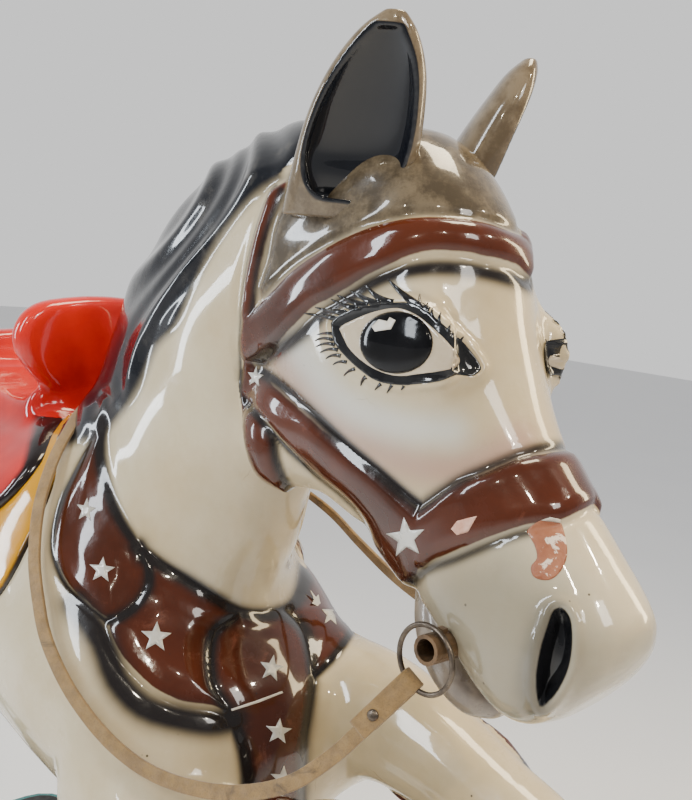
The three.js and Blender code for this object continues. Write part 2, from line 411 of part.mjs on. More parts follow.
for (let i = 0; i < 6; i++) mat = mat.add(box(-215, 215, -420 + i * 154, -404 + i * 154, DECK_Z + DECK_T + MAT_T - 1, DECK_Z + DECK_T + MAT_T + 2));
add('deck_mat', cut(mat, ...matHoles), C.rubber);
[['front_right', -200, -420], ['front_left', 200, -420], ['rear_right', -200, 380], ['rear_left', 200, 380]].forEach(([n, x, y]) => {
  const g = new THREE.LatheGeometry([[0, 0], [26, 0], [28, 4], [24, 24.7], [4.6, 24.7], [4.6, 44], [0, 44]].map(([a, b]) => new THREE.Vector2(a, b)), 12);
  g.rotateX(Math.PI / 2);
  g.translate(x, y, 0);
  add(`foot_${n}`, toManifold(g), C.rubber);
});
add('service_hatch', union(prism('x', roundRect(HATCH[0], HATCH[1], HATCH[2], HATCH[3], 3), -BASE_X, -BASE_X + 4), box(-BASE_X - 9, -BASE_X + 1, HATCH[1] - 34, HATCH[1] - 22, 135, 165)), C.teal);
add('control_box', union(box(-235, -150, 215, 330, PAN_Z + GAP, 150), cyl('z', 7, 149, 162, -192, 240, 12)), C.grey);
add('cord_gland', cut(union(cyl('y', 18, BASE_Y1 + GAP, BASE_Y1 + 10, -150, 90, 14), cyl('y', 11.5, BASE_Y1 - 12, BASE_Y1 + 1, -150, 90, 14), cyl('y', 11, BASE_Y1 + 9, BASE_Y1 + 20, -150, 90, 14)),
  cyl('y', 5, BASE_Y1 - 40, BASE_Y1 + 40, -150, 90, 12)), C.rubber);

// ---------------------------------------------------------------- coin box
const CX0 = BASE_X + 2, CX1 = CX0 + 122;
const coinOuter = prism('x', roundRect(BOX_Y0, BOX_Y1, 30, 690, 14), CX0, CX1);
const coinInner = box(CX0 + 5, CX1 - 5, BOX_Y0 + 5, BOX_Y1 - 5, 35, 685);
const DOOR = [62, 198, 300, 560], DRAW = [66, 194, 120, 250];
const housing = cut(coinOuter, coinInner, box(CX1 - 20, CX1 + 20, DOOR[0] - 1, DOOR[1] + 1, DOOR[2] - 1, DOOR[3] + 1),
  box(CX1 - 20, CX1 + 20, DRAW[0] - 1, DRAW[1] + 1, DRAW[2] - 1, DRAW[3] + 1), cyl('x', 24, CX0 - 20, CX0 + 20, 130, 150),
  cyl('x', holeR(17, 20), CX1 - 20, CX1 + 20, 130, 625, 20));
add('coin_box_housing', housing, C.teal);
const door = cut(prism('x', roundRect(DOOR[0], DOOR[1], DOOR[2], DOOR[3], 4), CX1 - 4, CX1),
  box(CX1 - 30, CX1 + 20, 84, 96, 472, 512),            // coin entry
  cyl('x', holeR(9, 16), CX1 - 30, CX1 + 20, 160, 492, 16), cyl('x', holeR(9.5, 16), CX1 - 30, CX1 + 20, 176, 432, 16),
  box(CX1 - 30, CX1 + 20, 88, 160, 322, 382));
add('coin_door', door, C.steel);
add('coin_entry_plate', cut(prism('x', roundRect(72, 108, 462, 522, 6), CX1 + GAP, CX1 + 6, 1.5), box(CX1 - 30, CX1 + 20, 88.5, 91.5, 476, 508)), C.chrome);
add('coin_return_button', union(cyl('x', 9, CX1 - 14, CX1 + 9, 160, 492, 16), cyl('x', 12, CX1 - 14, CX1 - 9, 160, 492, 16)), C.red);
add('door_lock', cut(union(cyl('x', 9.5, CX1 - 14, CX1 + 1, 176, 432, 16), cyl('x', 13, CX1 + GAP, CX1 + 4, 176, 432, 18)), box(CX1 + 1, CX1 + 20, 174.6, 177.4, 426, 438)), C.brass);
// return cup: a pocket behind the door opening
const cup = cut(box(CX1 - 44, CX1 - 4 - GAP, 84, 164, 318, 386), box(CX1 - 40, CX1 + 10, 88, 160, 322, 382));
add('coin_return_cup', cup, C.dark);
add('coin_return_flap', box(CX1 - 3.2, CX1 - 1, 89, 159, 324, 379), C.chrome);
add('start_button_bezel', cut(prism('x', circle(130, 625, 26, 24), CX1 + GAP, CX1 + 6), cyl('x', holeR(17, 20), CX1 - 20, CX1 + 20, 130, 625, 20)), C.chrome);
add('start_button', union(cyl('x', 17, CX1 - 22, CX1 + 10, 130, 625, 20), cyl('x', 21, CX1 - 22, CX1 - 16, 130, 625, 20)), C.red);
const drawer = cut(union(box(CX0 + 14, CX1 - 4, DRAW[0] + 2, DRAW[1] - 2, DRAW[2] + 2, DRAW[3] - 12), prism('x', roundRect(DRAW[0], DRAW[1], DRAW[2], DRAW[3], 4), CX1 - 4, CX1)),
  box(CX0 + 17, CX1 - 4, DRAW[0] + 5, DRAW[1] - 5, DRAW[2] + 5, DRAW[3] + 5));
add('cash_drawer', union(drawer, cut(box(CX1 - 1, CX1 + 20, 100, 160, 178, 192), box(CX1, CX1 + 14, 108, 152, 170, 200))), C.steel);

// ---------------------------------------------------------------- stirrups
for (const [n, s] of [['right', -1], ['left', 1]]) {
  const x0 = s < 0 ? -211 : 207.5, y = 15;
  const strap = union(box(x0, x0 + 3.5, y - 13, y + 13, 690, 985), cyl('x', 13, x0, x0 + 3.5, y, 985, 16));
  add(`stirrup_leather_${n}`, strap, C.leather);
  const cx = s * 209.25;
  const iron = cut(prism('y', [[cx - 8, 688], [cx + 8, 688], [cx + 40, 622], [cx + 40, 606], [cx - 40, 606], [cx - 40, 622]], y - 20, y + 20, 2),
    prism('y', [[cx - 2, 676], [cx + 2, 676], [cx + 33, 622], [cx + 33, 613], [cx - 33, 613], [cx - 33, 622]], y - 60, y + 60));
  add(`stirrup_iron_${n}`, iron, C.teal);
}

export default root;
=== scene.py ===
import json
import math

import bpy
import bmesh
import numpy as np
import openvdb as vdb
from mathutils import Matrix, Vector
from mathutils.bvhtree import BVHTree
from mathutils.geometry import delaunay_2d_cdt


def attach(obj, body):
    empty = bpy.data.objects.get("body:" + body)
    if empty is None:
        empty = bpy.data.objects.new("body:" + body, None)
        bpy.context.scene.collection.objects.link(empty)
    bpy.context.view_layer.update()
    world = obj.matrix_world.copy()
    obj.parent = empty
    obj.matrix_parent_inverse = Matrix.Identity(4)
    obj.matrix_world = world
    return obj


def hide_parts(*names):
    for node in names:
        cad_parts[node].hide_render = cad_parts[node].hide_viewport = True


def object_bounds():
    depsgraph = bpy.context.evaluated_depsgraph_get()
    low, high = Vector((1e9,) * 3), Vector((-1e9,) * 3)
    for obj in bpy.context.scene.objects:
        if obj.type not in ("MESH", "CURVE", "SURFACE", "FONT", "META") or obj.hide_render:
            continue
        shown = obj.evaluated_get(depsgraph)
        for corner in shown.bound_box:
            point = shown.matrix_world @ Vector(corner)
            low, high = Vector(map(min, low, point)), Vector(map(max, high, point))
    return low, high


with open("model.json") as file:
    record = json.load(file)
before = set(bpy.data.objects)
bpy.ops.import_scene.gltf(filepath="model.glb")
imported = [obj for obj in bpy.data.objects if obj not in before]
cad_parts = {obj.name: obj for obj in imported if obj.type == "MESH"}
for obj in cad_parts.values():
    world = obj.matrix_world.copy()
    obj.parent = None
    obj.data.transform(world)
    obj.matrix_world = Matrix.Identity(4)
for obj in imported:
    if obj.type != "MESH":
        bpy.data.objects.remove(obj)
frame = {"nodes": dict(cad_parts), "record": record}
CAD_BOX = [list(map(float, c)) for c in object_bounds()]

# Working units are millimetres in the horse's own frame: it faces -Y, +X is its left, Z up.
SHIFT = np.array([-67.5, 33.26, 0.0])
MM = 0.001


def row(p):
    return (np.asarray(p, float) + SHIFT) * MM


# ---------------------------------------------------------------- camera
CAM = np.array([-655.0, -1130.0, 1295.0])
YAW, PITCH, ROLL = math.radians(44.8), math.radians(7.6), math.radians(6.1)
FPX, PPX, PPY = 1015.0, 346.0, 400.0
fwd = np.array([math.sin(YAW) * math.cos(PITCH), math.cos(YAW) * math.cos(PITCH), -math.sin(PITCH)])
r0 = np.array([math.cos(YAW), -math.sin(YAW), 0.0])
u0 = np.cross(r0, fwd)
right = math.cos(ROLL) * r0 + math.sin(ROLL) * u0
up = -math.sin(ROLL) * r0 + math.cos(ROLL) * u0

cam_data = bpy.data.cameras.new("camera")
cam_data.lens = 36.0 * FPX / 800.0
cam_data.sensor_width = 36.0
cam_data.sensor_fit = "AUTO"
cam_data.clip_start = 0.05
cam = bpy.data.objects.new("camera", cam_data)
bpy.context.collection.objects.link(cam)
cp = row(CAM)
cam.matrix_world = Matrix((
    (right[0], up[0], -fwd[0], cp[0]),
    (right[1], up[1], -fwd[1], cp[1]),
    (right[2], up[2], -fwd[2], cp[2]),
    (0, 0, 0, 1)))
bpy.context.scene.camera = cam


def plane_uv(P):
    d = P - CAM
    z = np.maximum(d @ fwd, 1.0)
    return np.stack([PPX + FPX * (d @ right) / z, PPY - FPX * (d @ up) / z], -1)


def plane_ray(uv):
    uv = np.asarray(uv, float)
    d = fwd + np.outer((uv[:, 0] - PPX) / FPX, right) - np.outer((uv[:, 1] - PPY) / FPX, up)
    return d / np.linalg.norm(d, axis=1, keepdims=True)


# ---------------------------------------------------------------- node material helpers
def new_mat(name):
    m = bpy.data.materials.new(name)
    m.use_nodes = True
    nt = m.node_tree
    nt.nodes.clear()
    out = nt.nodes.new("ShaderNodeOutputMaterial")
    bs = nt.nodes.new("ShaderNodeBsdfPrincipled")
    nt.links.new(bs.outputs[0], out.inputs[0])
    return m, nt, bs


def put(nt, sock, v):
    if hasattr(v, "is_output") or isinstance(v, bpy.types.NodeSocket):
        nt.links.new(v, sock)
    elif isinstance(v, (tuple, list)):
        sock.default_value = tuple(v) + ((1.0,) if len(v) == 3 and len(sock.default_value) == 4 else ())
    else:
        sock.default_value = v


def coords(nt, scale=(1, 1, 1)):
    tc = nt.nodes.new("ShaderNodeTexCoord")
    mp = nt.nodes.new("ShaderNodeMapping")
    nt.links.new(tc.outputs["Object"], mp.inputs["Vector"])
    mp.inputs["Scale"].default_value = scale
    return mp.outputs[0]


def noise(nt, scale, detail=4.0, rough=0.55, co=None, dist=0.0):
    n = nt.nodes.new("ShaderNodeTexNoise")
    n.inputs["Scale"].default_value = scale
    n.inputs["Detail"].default_value = detail
    n.inputs["Roughness"].default_value = rough
    n.inputs["Distortion"].default_value = dist
    nt.links.new(co if co is not None else coords(nt), n.inputs["Vector"])
    return n.outputs["Fac"]


def voronoi(nt, scale, feature="DISTANCE_TO_EDGE", co=None):
    n = nt.nodes.new("ShaderNodeTexVoronoi")
    n.feature = feature
    n.inputs["Scale"].default_value = scale
    nt.links.new(co if co is not None else coords(nt), n.inputs["Vector"])
    return n.outputs["Distance"]


def mapr(nt, v, a, b, c=0.0, d=1.0, smooth=True):
    n = nt.nodes.new("ShaderNodeMapRange")
    n.interpolation_type = "SMOOTHSTEP" if smooth else "LINEAR"
    n.clamp = True
    put(nt, n.inputs["Value"], v)
    for k, x in (("From Min", a), ("From Max", b), ("To Min", c), ("To Max", d)):
        n.inputs[k].default_value = x
    return n.outputs[0]


def math_(nt, op, a, b=None):
    n = nt.nodes.new("ShaderNodeMath")
    n.operation = op
    put(nt, n.inputs[0], a)
    if b is not None:
        put(nt, n.inputs[1], b)
    return n.outputs[0]


def mix(nt, f, a, b, mode="MIX"):
    n = nt.nodes.new("ShaderNodeMix")
    n.data_type = "RGBA"
    n.blend_type = mode
    put(nt, n.inputs[0], f)
    put(nt, n.inputs[6], a)
    put(nt, n.inputs[7], b)
    return n.outputs[2]


def attr(nt, name):
    n = nt.nodes.new("ShaderNodeAttribute")
    n.attribute_name = name
    return n.outputs["Fac"]


def bump(nt, bs, height, strength, dist=0.001):
    n = nt.nodes.new("ShaderNodeBump")
    n.inputs["Strength"].default_value = strength
    n.inputs["Distance"].default_value = dist
    nt.links.new(height, n.inputs["Height"])
    nt.links.new(n.outputs[0], bs.inputs["Normal"])
    return n


def paint(name, a, b, scale=9.0, rough=(0.2, 0.4), metal=0.0, coat=0.0, bumps=(0.12, 180.0), wear=None, wear_at=(0.62, 0.72), wear_scale=14.0, stretch=(1, 1, 1), spec=0.5):
    """A finish with two tones, uneven gloss, fine surface grain and worn or dirty patches."""
    m, nt, bs = new_mat(name)
    co = coords(nt, stretch)
    base = mix(nt, mapr(nt, noise(nt, scale, 6, 0.6, co), 0.32, 0.68), a, b)
    if wear is not None:
        base = mix(nt, mapr(nt, noise(nt, wear_scale, 9, 0.68, co, 0.4), *wear_at), base, wear)
    nt.links.new(base, bs.inputs["Base Color"])
    nt.links.new(mapr(nt, noise(nt, scale * 3.1, 5, 0.6, co), 0.3, 0.7, rough[0], rough[1]), bs.inputs["Roughness"])
    bs.inputs["Metallic"].default_value = metal
    bs.inputs["Coat Weight"].default_value = coat
    bs.inputs["Coat Roughness"].default_value = 0.06
    bs.inputs["Specular IOR Level"].default_value = spec
    bump(nt, bs, noise(nt, bumps[1], 3, 0.5, co), bumps[0], 0.0006)
    return m


# ---------------------------------------------------------------- the rein: a free strap, made first
REIN = np.array([
    [-75, -644.4, 977.1, -1, 0, 0], [-77, -638, 966, -1, 0, 0], [-81, -628, 950, -1, -.1, .1], [-88, -615, 930, -1, -.2, .2],
    [-97, -597, 904, -.95, -.2, .3], [-112, -568, 872, -.9, -.2, .4], [-126, -527, 848, -.9, -.2, .4], [-140, -480, 834, -.9, -.25, .35],
    [-154, -427, 830, -.9, -.35, .25], [-167, -380, 842, -.88, -.4, .25], [-178, -333, 868, -.9, -.35, .28], [-183, -302, 893, -.9, -.3, .3],
    [-184, -280, 914, -.9, -.28, .33], [-181, -259, 938, -.88, -.28, .38], [-172, -228, 972, -.85, -.25, .48], [-155, -199, 1017, -.78, -.25, .6],
    [-128, -172, 1057, -.6, -.2, .77], [-98, -147, 1084, -.45, -.15, .88], [-66, -118, 1102, -.3, -.05, .95], [-34, -91, 1109, -.12, 0, 1],
    [0, -80, 1109, 0, 0, 1], [34, -91, 1109, .12, 0, 1], [66, -118, 1102, .3, -.05, .95], [100, -150, 1082, .45, -.15, .88],
    [134, -190, 1052, .65, -.2, .73], [160, -240, 1024, .82, -.2, .52], [168, -295, 1004, .9, -.25, .35], [153, -361, 987, .92, -.2, .3],
    [128, -446, 973, .95, -.15, .25], [104, -545, 966, 1, 0, .1], [88, -610, 966, 1, 0, 0], [79, -634, 970, 1, 0, 0], [75, -644.2, 976.8, 1, 0, 0]], float)


def spline(V, per, dims=3):
    """Smooth curve through the rows of V; distance along the first dims columns sets the pace."""
    V = np.asarray(V, float)
    t = np.concatenate([[0], np.cumsum(np.sqrt(np.linalg.norm(np.diff(V[:, :dims], axis=0), axis=1)) + 1e-6)])
    dt = np.diff(t)
    s = np.diff(V, axis=0) / dt[:, None]
    m = np.empty_like(V)
    m[1:-1] = (s[:-1] * dt[1:, None] + s[1:] * dt[:-1, None]) / (dt[1:] + dt[:-1])[:, None]
    m[0], m[-1] = s[0], s[-1]
    out = []
    for i in range(len(V) - 1):
        u = np.linspace(0, 1, per, endpoint=False)[:, None]
        h = dt[i]
        out.append((2 * u**3 - 3 * u**2 + 1) * V[i] + (u**3 - 2 * u**2 + u) * h * m[i] + (-2 * u**3 + 3 * u**2) * V[i + 1] + (u**3 - u**2) * h * m[i + 1])
    out.append(V[-1:])
    return np.concatenate(out)


def unit(v):
    return v / np.maximum(np.linalg.norm(v, axis=-1, keepdims=True), 1e-9)


def mesh_object(name, P, faces, smooth=True, design=True):
    me = bpy.data.meshes.new(name)
    P = row(P) if design else np.asarray(P)
    me.from_pydata(P.tolist(), [], [list(map(int, f)) for f in faces])
    me.update()
    ob = bpy.data.objects.new(name, me)
    bpy.context.collection.objects.link(ob)
    if smooth:
        me.shade_smooth()
    return ob


def strap(name, path, flat, width, thick, rnd=1.1):
    """A flat leather strap with rounded edges, swept along path; flat is the direction its face looks."""
    n = len(path)
    T = unit(np.gradient(path, axis=0))
    F = unit(flat - (flat * T).sum(1, keepdims=True) * T)
    W = np.cross(T, F)
    a, b = width / 2, thick / 2
    prof = []
    for cx, cy, a0 in ((a - rnd, b - rnd, 0), (-a + rnd, b - rnd, 90), (-a + rnd, -b + rnd, 180), (a - rnd, -b + rnd, 270)):
        for k in range(4):
            q = math.radians(a0 + 30 * k)
            prof.append((cx + rnd * math.cos(q), cy + rnd * math.sin(q)))
    prof = np.array(prof)
    k = len(prof)
    P = (path[:, None] + prof[None, :, :1] * W[:, None] + prof[None, :, 1:] * F[:, None]).reshape(-1, 3)
    faces = [(i * k + j, i * k + (j + 1) % k, (i + 1) * k + (j + 1) % k, (i + 1) * k + j) for i in range(n - 1) for j in range(k)]
    faces.append(tuple(range(k))[::-1])
    faces.append(tuple(range((n - 1) * k, n * k)))
    ob = mesh_object(name, P, faces)
    bm = bmesh.new(); bm.from_mesh(ob.data); bmesh.ops.recalc_face_normals(bm, faces=bm.faces); bm.to_mesh(ob.data); bm.free()
    return ob


rein_curve = spline(REIN, 8)
rein = strap("rein_leather_strap", rein_curve[:, :3], rein_curve[:, 3:], 13.6, 4.0)


def leather(name, a, b, c):
    m, nt, bs = new_mat(name)
    co = coords(nt)
    base = mix(nt, mapr(nt, noise(nt, 60, 8, 0.7, co), 0.35, 0.65), a, b)
    base = mix(nt, mapr(nt, noise(nt, 22, 6, 0.7, co, 1.0), 0.55, 0.7), base, c)
    base = mix(nt, mapr(nt, noise(nt, 900, 3, 0.7, co), 0.5, 0.75, 0, .5), base, tuple(x * 0.45 for x in c))
    nt.links.new(base, bs.inputs["Base Color"])
    nt.links.new(mapr(nt, noise(nt, 140, 4, 0.6, co), 0.3, 0.7, 0.62, 0.9), bs.inputs["Roughness"])
    bs.inputs["Sheen Weight"].default_value = 0.3
    h = math_(nt, "ADD", noise(nt, 1400, 4, 0.7, co), math_(nt, "MULTIPLY", voronoi(nt, 700, co=co), 0.8))
    bump(nt, bs, h, 0.55, 0.0007)
    return m


REIN_MAT = leather("rein_suede", (0.30, 0.18, 0.062), (0.21, 0.125, 0.046), (0.10, 0.062, 0.028))
rein.data.materials.append(REIN_MAT)
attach(rein, "carriage")
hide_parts("rein_strap")

# ---------------------------------------------------------------- section tables of the horse
TORSO = [[562,905,34,48,50],[548,905,92,100,100],[500,900,148,158,150],[410,892,182,190,170],[300,884,190,198,168],[180,876,190,204,156],[60,872,188,208,150],[-60,868,186,222,150],[-150,862,187,233,152],[-230,848,186,205,152],[-300,832,178,160,146],[-350,818,164,122,138],[-395,806,138,96,126],[-428,795,100,70,106],[-447,782,52,40,62]]
NECK = [[-84,1068,-322,850,122,0.5],[-97,1110,-338,905,108,0.52],[-99,1165,-368,952,97,0.55],[-116,1222,-392,1000,90,0.57],[-150,1276,-402,1048,85,0.58],[-200,1333,-412,1092,84,0.58],[-262,1380,-424,1134,80,0.56],[-330,1409,-442,1172,78,0.55],[-400,1426,-470,1206,76,0.5],[-459,1426,-508,1240,66,0.5]]
HEAD0 = np.array([0, -470.0, 1290.0]); HEAD_T = np.array([0, -0.745, -0.667]); HEAD_N = np.array([0, -0.667, 0.745])
HEAD = [[-58,118,20,-58,66,2.2],[-22,143,22,-98,82,2.2],[26,149,20,-126,89,2.3],[73,142,15,-143,88,2.4],[110,126,10,-147,88,2.5],[146,104,5,-140,84,2.6],[180,87,0,-127,78,2.6],[212,74,-8,-114,71,2.6],[254,64,-15,-105,64,2.7],[292,60,-20,-99,61,3.0],[339,56,-22,-92,62,3.4],[375,52,-18,-88,62,3.2],[396,46,-18,-82,57,3.0],[410,30,-20,-70,45,2.6],[417,8,-22,-50,26,2.2]]
FORE_L = [[100,-330,800,62,84],[112,-395,815,66,82],[115,-455,828,58,68],[116,-530,822,50,56],[117,-610,802,44,48],[118,-672,784,42,46],[119,-712,752,38,42],[119,-728,706,28,30],[119,-728,655,24,25],[119,-724,612,29,31],[119,-730,584,36,40],[119,-734,556,41,46]]
FORE_R = [[-108,-320,760,66,84],[-116,-380,742,64,74],[-112,-440,742,54,60],[-98,-505,762,48,52],[-82,-560,790,43,46],[-74,-596,806,42,44],[-72,-622,780,38,38],[-74,-602,730,28,29],[-78,-560,680,24,25],[-82,-522,646,29,30],[-84,-492,632,36,36],[-86,-462,618,40,42]]
HIND = [[112,420,870,70,112],[124,436,790,72,104],[130,432,712,62,84],[130,452,650,48,58],[128,500,590,36,42],[126,538,552,30,37],[125,548,506,25,28],[124,552,466,28,31],[124,548,440,36,40],[124,544,412,41,46]]
TAIL = [[530,985,20,22],[575,1012,26,26],[622,1004,34,32],[662,960,40,38],[684,890,44,42],[690,815,42,40],[684,740,32,30],[672,680,16,16],[668,652,5,5]]
JAW = [[262,-92,22,20],[290,-100,36,26],[322,-104,42,32],[352,-104,42,30],[376,-102,34,22],[388,-100,18,10]]

# each station as [cx,cy,cz, Ux,Uy,Uz, w, t, b, nTop, nBot]
torso_S = np.array([[0, y, z, 0, 0, 1, w, t, b, 2.1, 2.2] for y, z, w, t, b in TORSO], float)
neck_S = []
for cy, cz, ty, tz, w, m in NECK:
    a, b = np.array([0, cy, cz], float), np.array([0, ty, tz], float)
    d = np.linalg.norm(a - b); U = (a - b) / d
    neck_S.append([*(a - U * d * m), *U, w, d * m, d * (1 - m), 1.75, 2.1])
neck_S = np.array(neck_S)
head_S = np.array([[*(HEAD0 + HEAD_T * s + HEAD_N * m), *HEAD_N, w, top - m, m - bot, 2.2, nb] for s, top, m, bot, w, nb in HEAD], float)
jaw_S = np.array([[*(HEAD0 + HEAD_T * s + HEAD_N * h), *HEAD_N, w, 22, b, 2.2, 2.4] for s, h, w, b in JAW], float)


def limb_S(L, flip=1.0):
    return np.array([[x * flip, y, z, 0, 0, 0, w, t, t, 2.1, 2.1] for x, y, z, w, t in L], float)


def loft(S, per=6, count=56, limb=False):
    S = spline(S, per)
    c = S[:, :3]
    T = unit(np.gradient(c, axis=0))
    if limb:
        U = unit(np.cross(T, [1.0, 0, 0])); X = np.cross(U, T)
    else:
        U = unit(S[:, 3:6]); X = np.tile([1.0, 0, 0], (len(S), 1))
    a = 2 * math.pi * (np.arange(count) + 0.5) / count
    co, si = np.cos(a), np.sin(a)
    n = np.where(si[None] >= 0, S[:, 9:10], S[:, 10:11])
    h = np.where(si[None] >= 0, S[:, 7:8], S[:, 8:9])
    x = S[:, 6:7] * np.sign(co) * np.abs(co) ** (2 / n)
    y = h * np.sign(si) * np.abs(si) ** (2 / n)
    P = c[:, None] + x[..., None] * X[:, None] + y[..., None] * U[:, None]
    k, m = count, len(S)
    idx = np.arange(m * k).reshape(m, k)
    quads = np.stack([idx[:-1], np.roll(idx, -1, 1)[:-1], np.roll(idx, -1, 1)[1:], idx[1:]], -1).reshape(-1, 4)
    P = np.concatenate([P.reshape(-1, 3), c[:1], c[-1:]])
    j = np.arange(k)
    t0 = np.stack([np.full(k, m * k), (j + 1) % k, j], -1)
    t1 = np.stack([np.full(k, m * k + 1), (m - 1) * k + j, (m - 1) * k + (j + 1) % k], -1)
    return P, quads, np.concatenate([t0, t1])


class Grid:
    def __init__(self, lo, hi, vox):
        self.v = vox
        self.lo = np.floor(np.array(lo) / vox).astype(int)
        self.n = np.ceil(np.array(hi) / vox).astype(int) - self.lo + 1

    def axes(self):
        return [((self.lo[i] + np.arange(self.n[i])) * self.v).astype(np.float32) for i in range(3)]

    def sdf(self, P, quads, tris, band):
        g = vdb.FloatGrid.createLevelSetFromPolygons(
            np.ascontiguousarray(P, np.float32), triangles=np.ascontiguousarray(tris, np.uint32), quads=np.ascontiguousarray(quads, np.uint32),
            transform=vdb.createLinearTransform(voxelSize=self.v), halfWidth=band / self.v)
        a = np.empty(tuple(self.n), np.float32)
        g.copyToArray(a, ijk=tuple(int(q) for q in self.lo))
        return a

    def surface(self, a, iso=0.0):
        b = 4.0 * self.v
        g = vdb.FloatGrid(b)
        g.transform = vdb.createLinearTransform(voxelSize=self.v)
        g.copyFromArray(np.ascontiguousarray(np.clip(a, -b, b), np.float32), ijk=tuple(int(q) for q in self.lo))
        P, Q = g.convertToQuads(isovalue=iso)
        return np.array(P, float), np.array(Q, int)

    def sample(self, a, P):
        q = P / self.v - self.lo
        q = np.clip(q, 0, self.n - 1.001)
        i = q.astype(int); f = (q - i).astype(np.float32)
        r = 0
        for dx in (0, 1):
            for dy in (0, 1):
                for dz in (0, 1):
                    w = (f[:, 0] if dx else 1 - f[:, 0]) * (f[:, 1] if dy else 1 - f[:, 1]) * (f[:, 2] if dz else 1 - f[:, 2])
                    r = r + w * a[i[:, 0] + dx, i[:, 1] + dy, i[:, 2] + dz]
        return r


def smin(a, b, k):
    h = np.maximum(k - np.abs(a - b), 0) / k
    return np.minimum(a, b) - h * h * k * 0.25


def smax(a, b, k):
    return -smin(-a, -b, k)


def blur(a, times=1):
    for _ in range(times):
        for ax in range(3):
            a = 0.5 * a + 0.25 * (np.roll(a, 1, ax) + np.roll(a, -1, ax))
    return a


def poly_sd(uv, poly, chunk=60000):
    """Signed distance to a closed outline, positive inside."""
    A = np.asarray(poly, float); B = np.roll(A, -1, 0)
    E = B - A
    L = np.maximum((E * E).sum(1), 1e-9)
    out = np.empty(len(uv))
    for s in range(0, len(uv), chunk):
        p = uv[s:s + chunk]
        W = p[:, None] - A[None]
        t = np.clip((W * E[None]).sum(-1) / L, 0, 1)
        d = np.sqrt(((W - t[..., None] * E) ** 2).sum(-1)).min(1)
        c1 = (A[None, :, 1] <= p[:, None, 1]) != (B[None, :, 1] <= p[:, None, 1])
        xi = A[:, 0] + (p[:, None, 1] - A[:, 1]) * E[:, 0] / np.where(np.abs(E[:, 1]) < 1e-9, 1e-9, E[:, 1])
        ins = (c1 & (p[:, None, 0] < xi)).sum(1) % 2 == 1
        out[s:s + chunk] = np.where(ins, d, -d)
    return out


def line_d(uv, pts, chunk=60000):
    A = np.asarray(pts[:-1], float); B = np.asarray(pts[1:], float)
    E = B - A
    L = np.maximum((E * E).sum(1), 1e-9)
    out = np.empty(len(uv))
    for s in range(0, len(uv), chunk):
        W = uv[s:s + chunk][:, None] - A[None]
        t = np.clip((W * E[None]).sum(-1) / L, 0, 1)
        out[s:s + chunk] = np.sqrt(((W - t[..., None] * E) ** 2).sum(-1)).min(1)
    return out


def round_poly(pts, per=4):
    """Closed outline through pts with its sides curved."""
    P = np.asarray(pts, float)
    Q = spline(np.concatenate([P[-2:], P, P[:2]]), per, 2)
    return Q[2 * per:-2 * per]


# ---------------------------------------------------------------- the moulded body as one blended form
G = Grid((-215, -815, 395), (215, 600, 1450), 5.0)
gx, gy, gz = np.meshgrid(*G.axes(), indexing="ij", sparse=True)


def ellipsoid(g3, c, r):
    x, y, z = g3
    k0 = np.sqrt(((x - c[0]) / r[0]) ** 2 + ((y - c[1]) / r[1]) ** 2 + ((z - c[2]) / r[2]) ** 2)
    return ((k0 - 1) * min(r)).astype(np.float32)


s_torso = G.sdf(*loft(torso_S), 60)
s_neck = G.sdf(*loft(neck_S), 60)
s_head = G.sdf(*loft(head_S), 60)
body = smin(s_torso, s_neck, 52)
body = smin(body, s_head, 30)
for sx in (-1, 1):
    body = smin(body, ellipsoid((gx, gy, gz), (sx * 74, -604, 1238), (10, 56, 36)), 18)
# rear corner of the cheek plates
for sx in (-1, 1):
    body = smin(body, ellipsoid((gx, gy, gz), (sx * 50, -449, 1131), (32, 42, 46)), 24)
for L, f, k in ((FORE_L, 1, 34), (FORE_R, 1, 34), (HIND, 1, 40), (HIND, -1, 40)):
    body = smin(body, G.sdf(*loft(limb_S(L, f), limb=True), 60), k)
body = blur(body, 1)
P, Q = G.surface(body)
# outward faces
v0, v1, v2 = P[Q[:, 0]], P[Q[:, 1]], P[Q[:, 2]]
vol = np.einsum("ij,ij->i", v0, np.cross(v1, v2)).sum()
if vol < 0:
    Q = Q[:, ::-1]
print("body quads", len(Q))


def smooth_pts(P, E, times, lam=0.5):
    n = len(P)
    deg = np.bincount(E.ravel(), minlength=n)[:, None]
    for _ in range(times):
        S = np.zeros_like(P)
        for k in range(3):
            S[:, k] = np.bincount(E[:, 0], P[E[:, 1], k], n) + np.bincount(E[:, 1], P[E[:, 0], k], n)
        P = P + lam * (S / np.maximum(deg, 1) - P)
    return P


def edges_of(Q):
    E = np.concatenate([Q[:, [i, (i + 1) % Q.shape[1]]] for i in range(Q.shape[1])])
    E.sort(1)
    return np.unique(E, axis=0)


P = smooth_pts(P, edges_of(Q), 3)
# front part gets a mesh twice as fine
me0 = bpy.data.meshes.new("tmp")
me0.from_pydata(P.tolist(), [], Q.tolist())
bm = bmesh.new(); bm.from_mesh(me0)
fine = [e for e in bm.edges if all(v.co.y < -185 and v.co.z > 640 and (v.co.z > 880 or v.co.y > -470) for v in e.verts)]
bmesh.ops.subdivide_edges(bm, edges=fine, cuts=1, use_grid_fill=True)
bm.verts.ensure_lookup_table(); bm.faces.ensure_lookup_table()
P = np.array([v.co[:] for v in bm.verts])
faces = [[v.index for v in f.verts] for f in bm.faces]
E = np.array([[e.verts[0].index, e.verts[1].index] for e in bm.edges])
bm.free(); bpy.data.meshes.remove(me0)
P = smooth_pts(P, E, 4)
print("horse verts", len(P), "faces", len(faces))


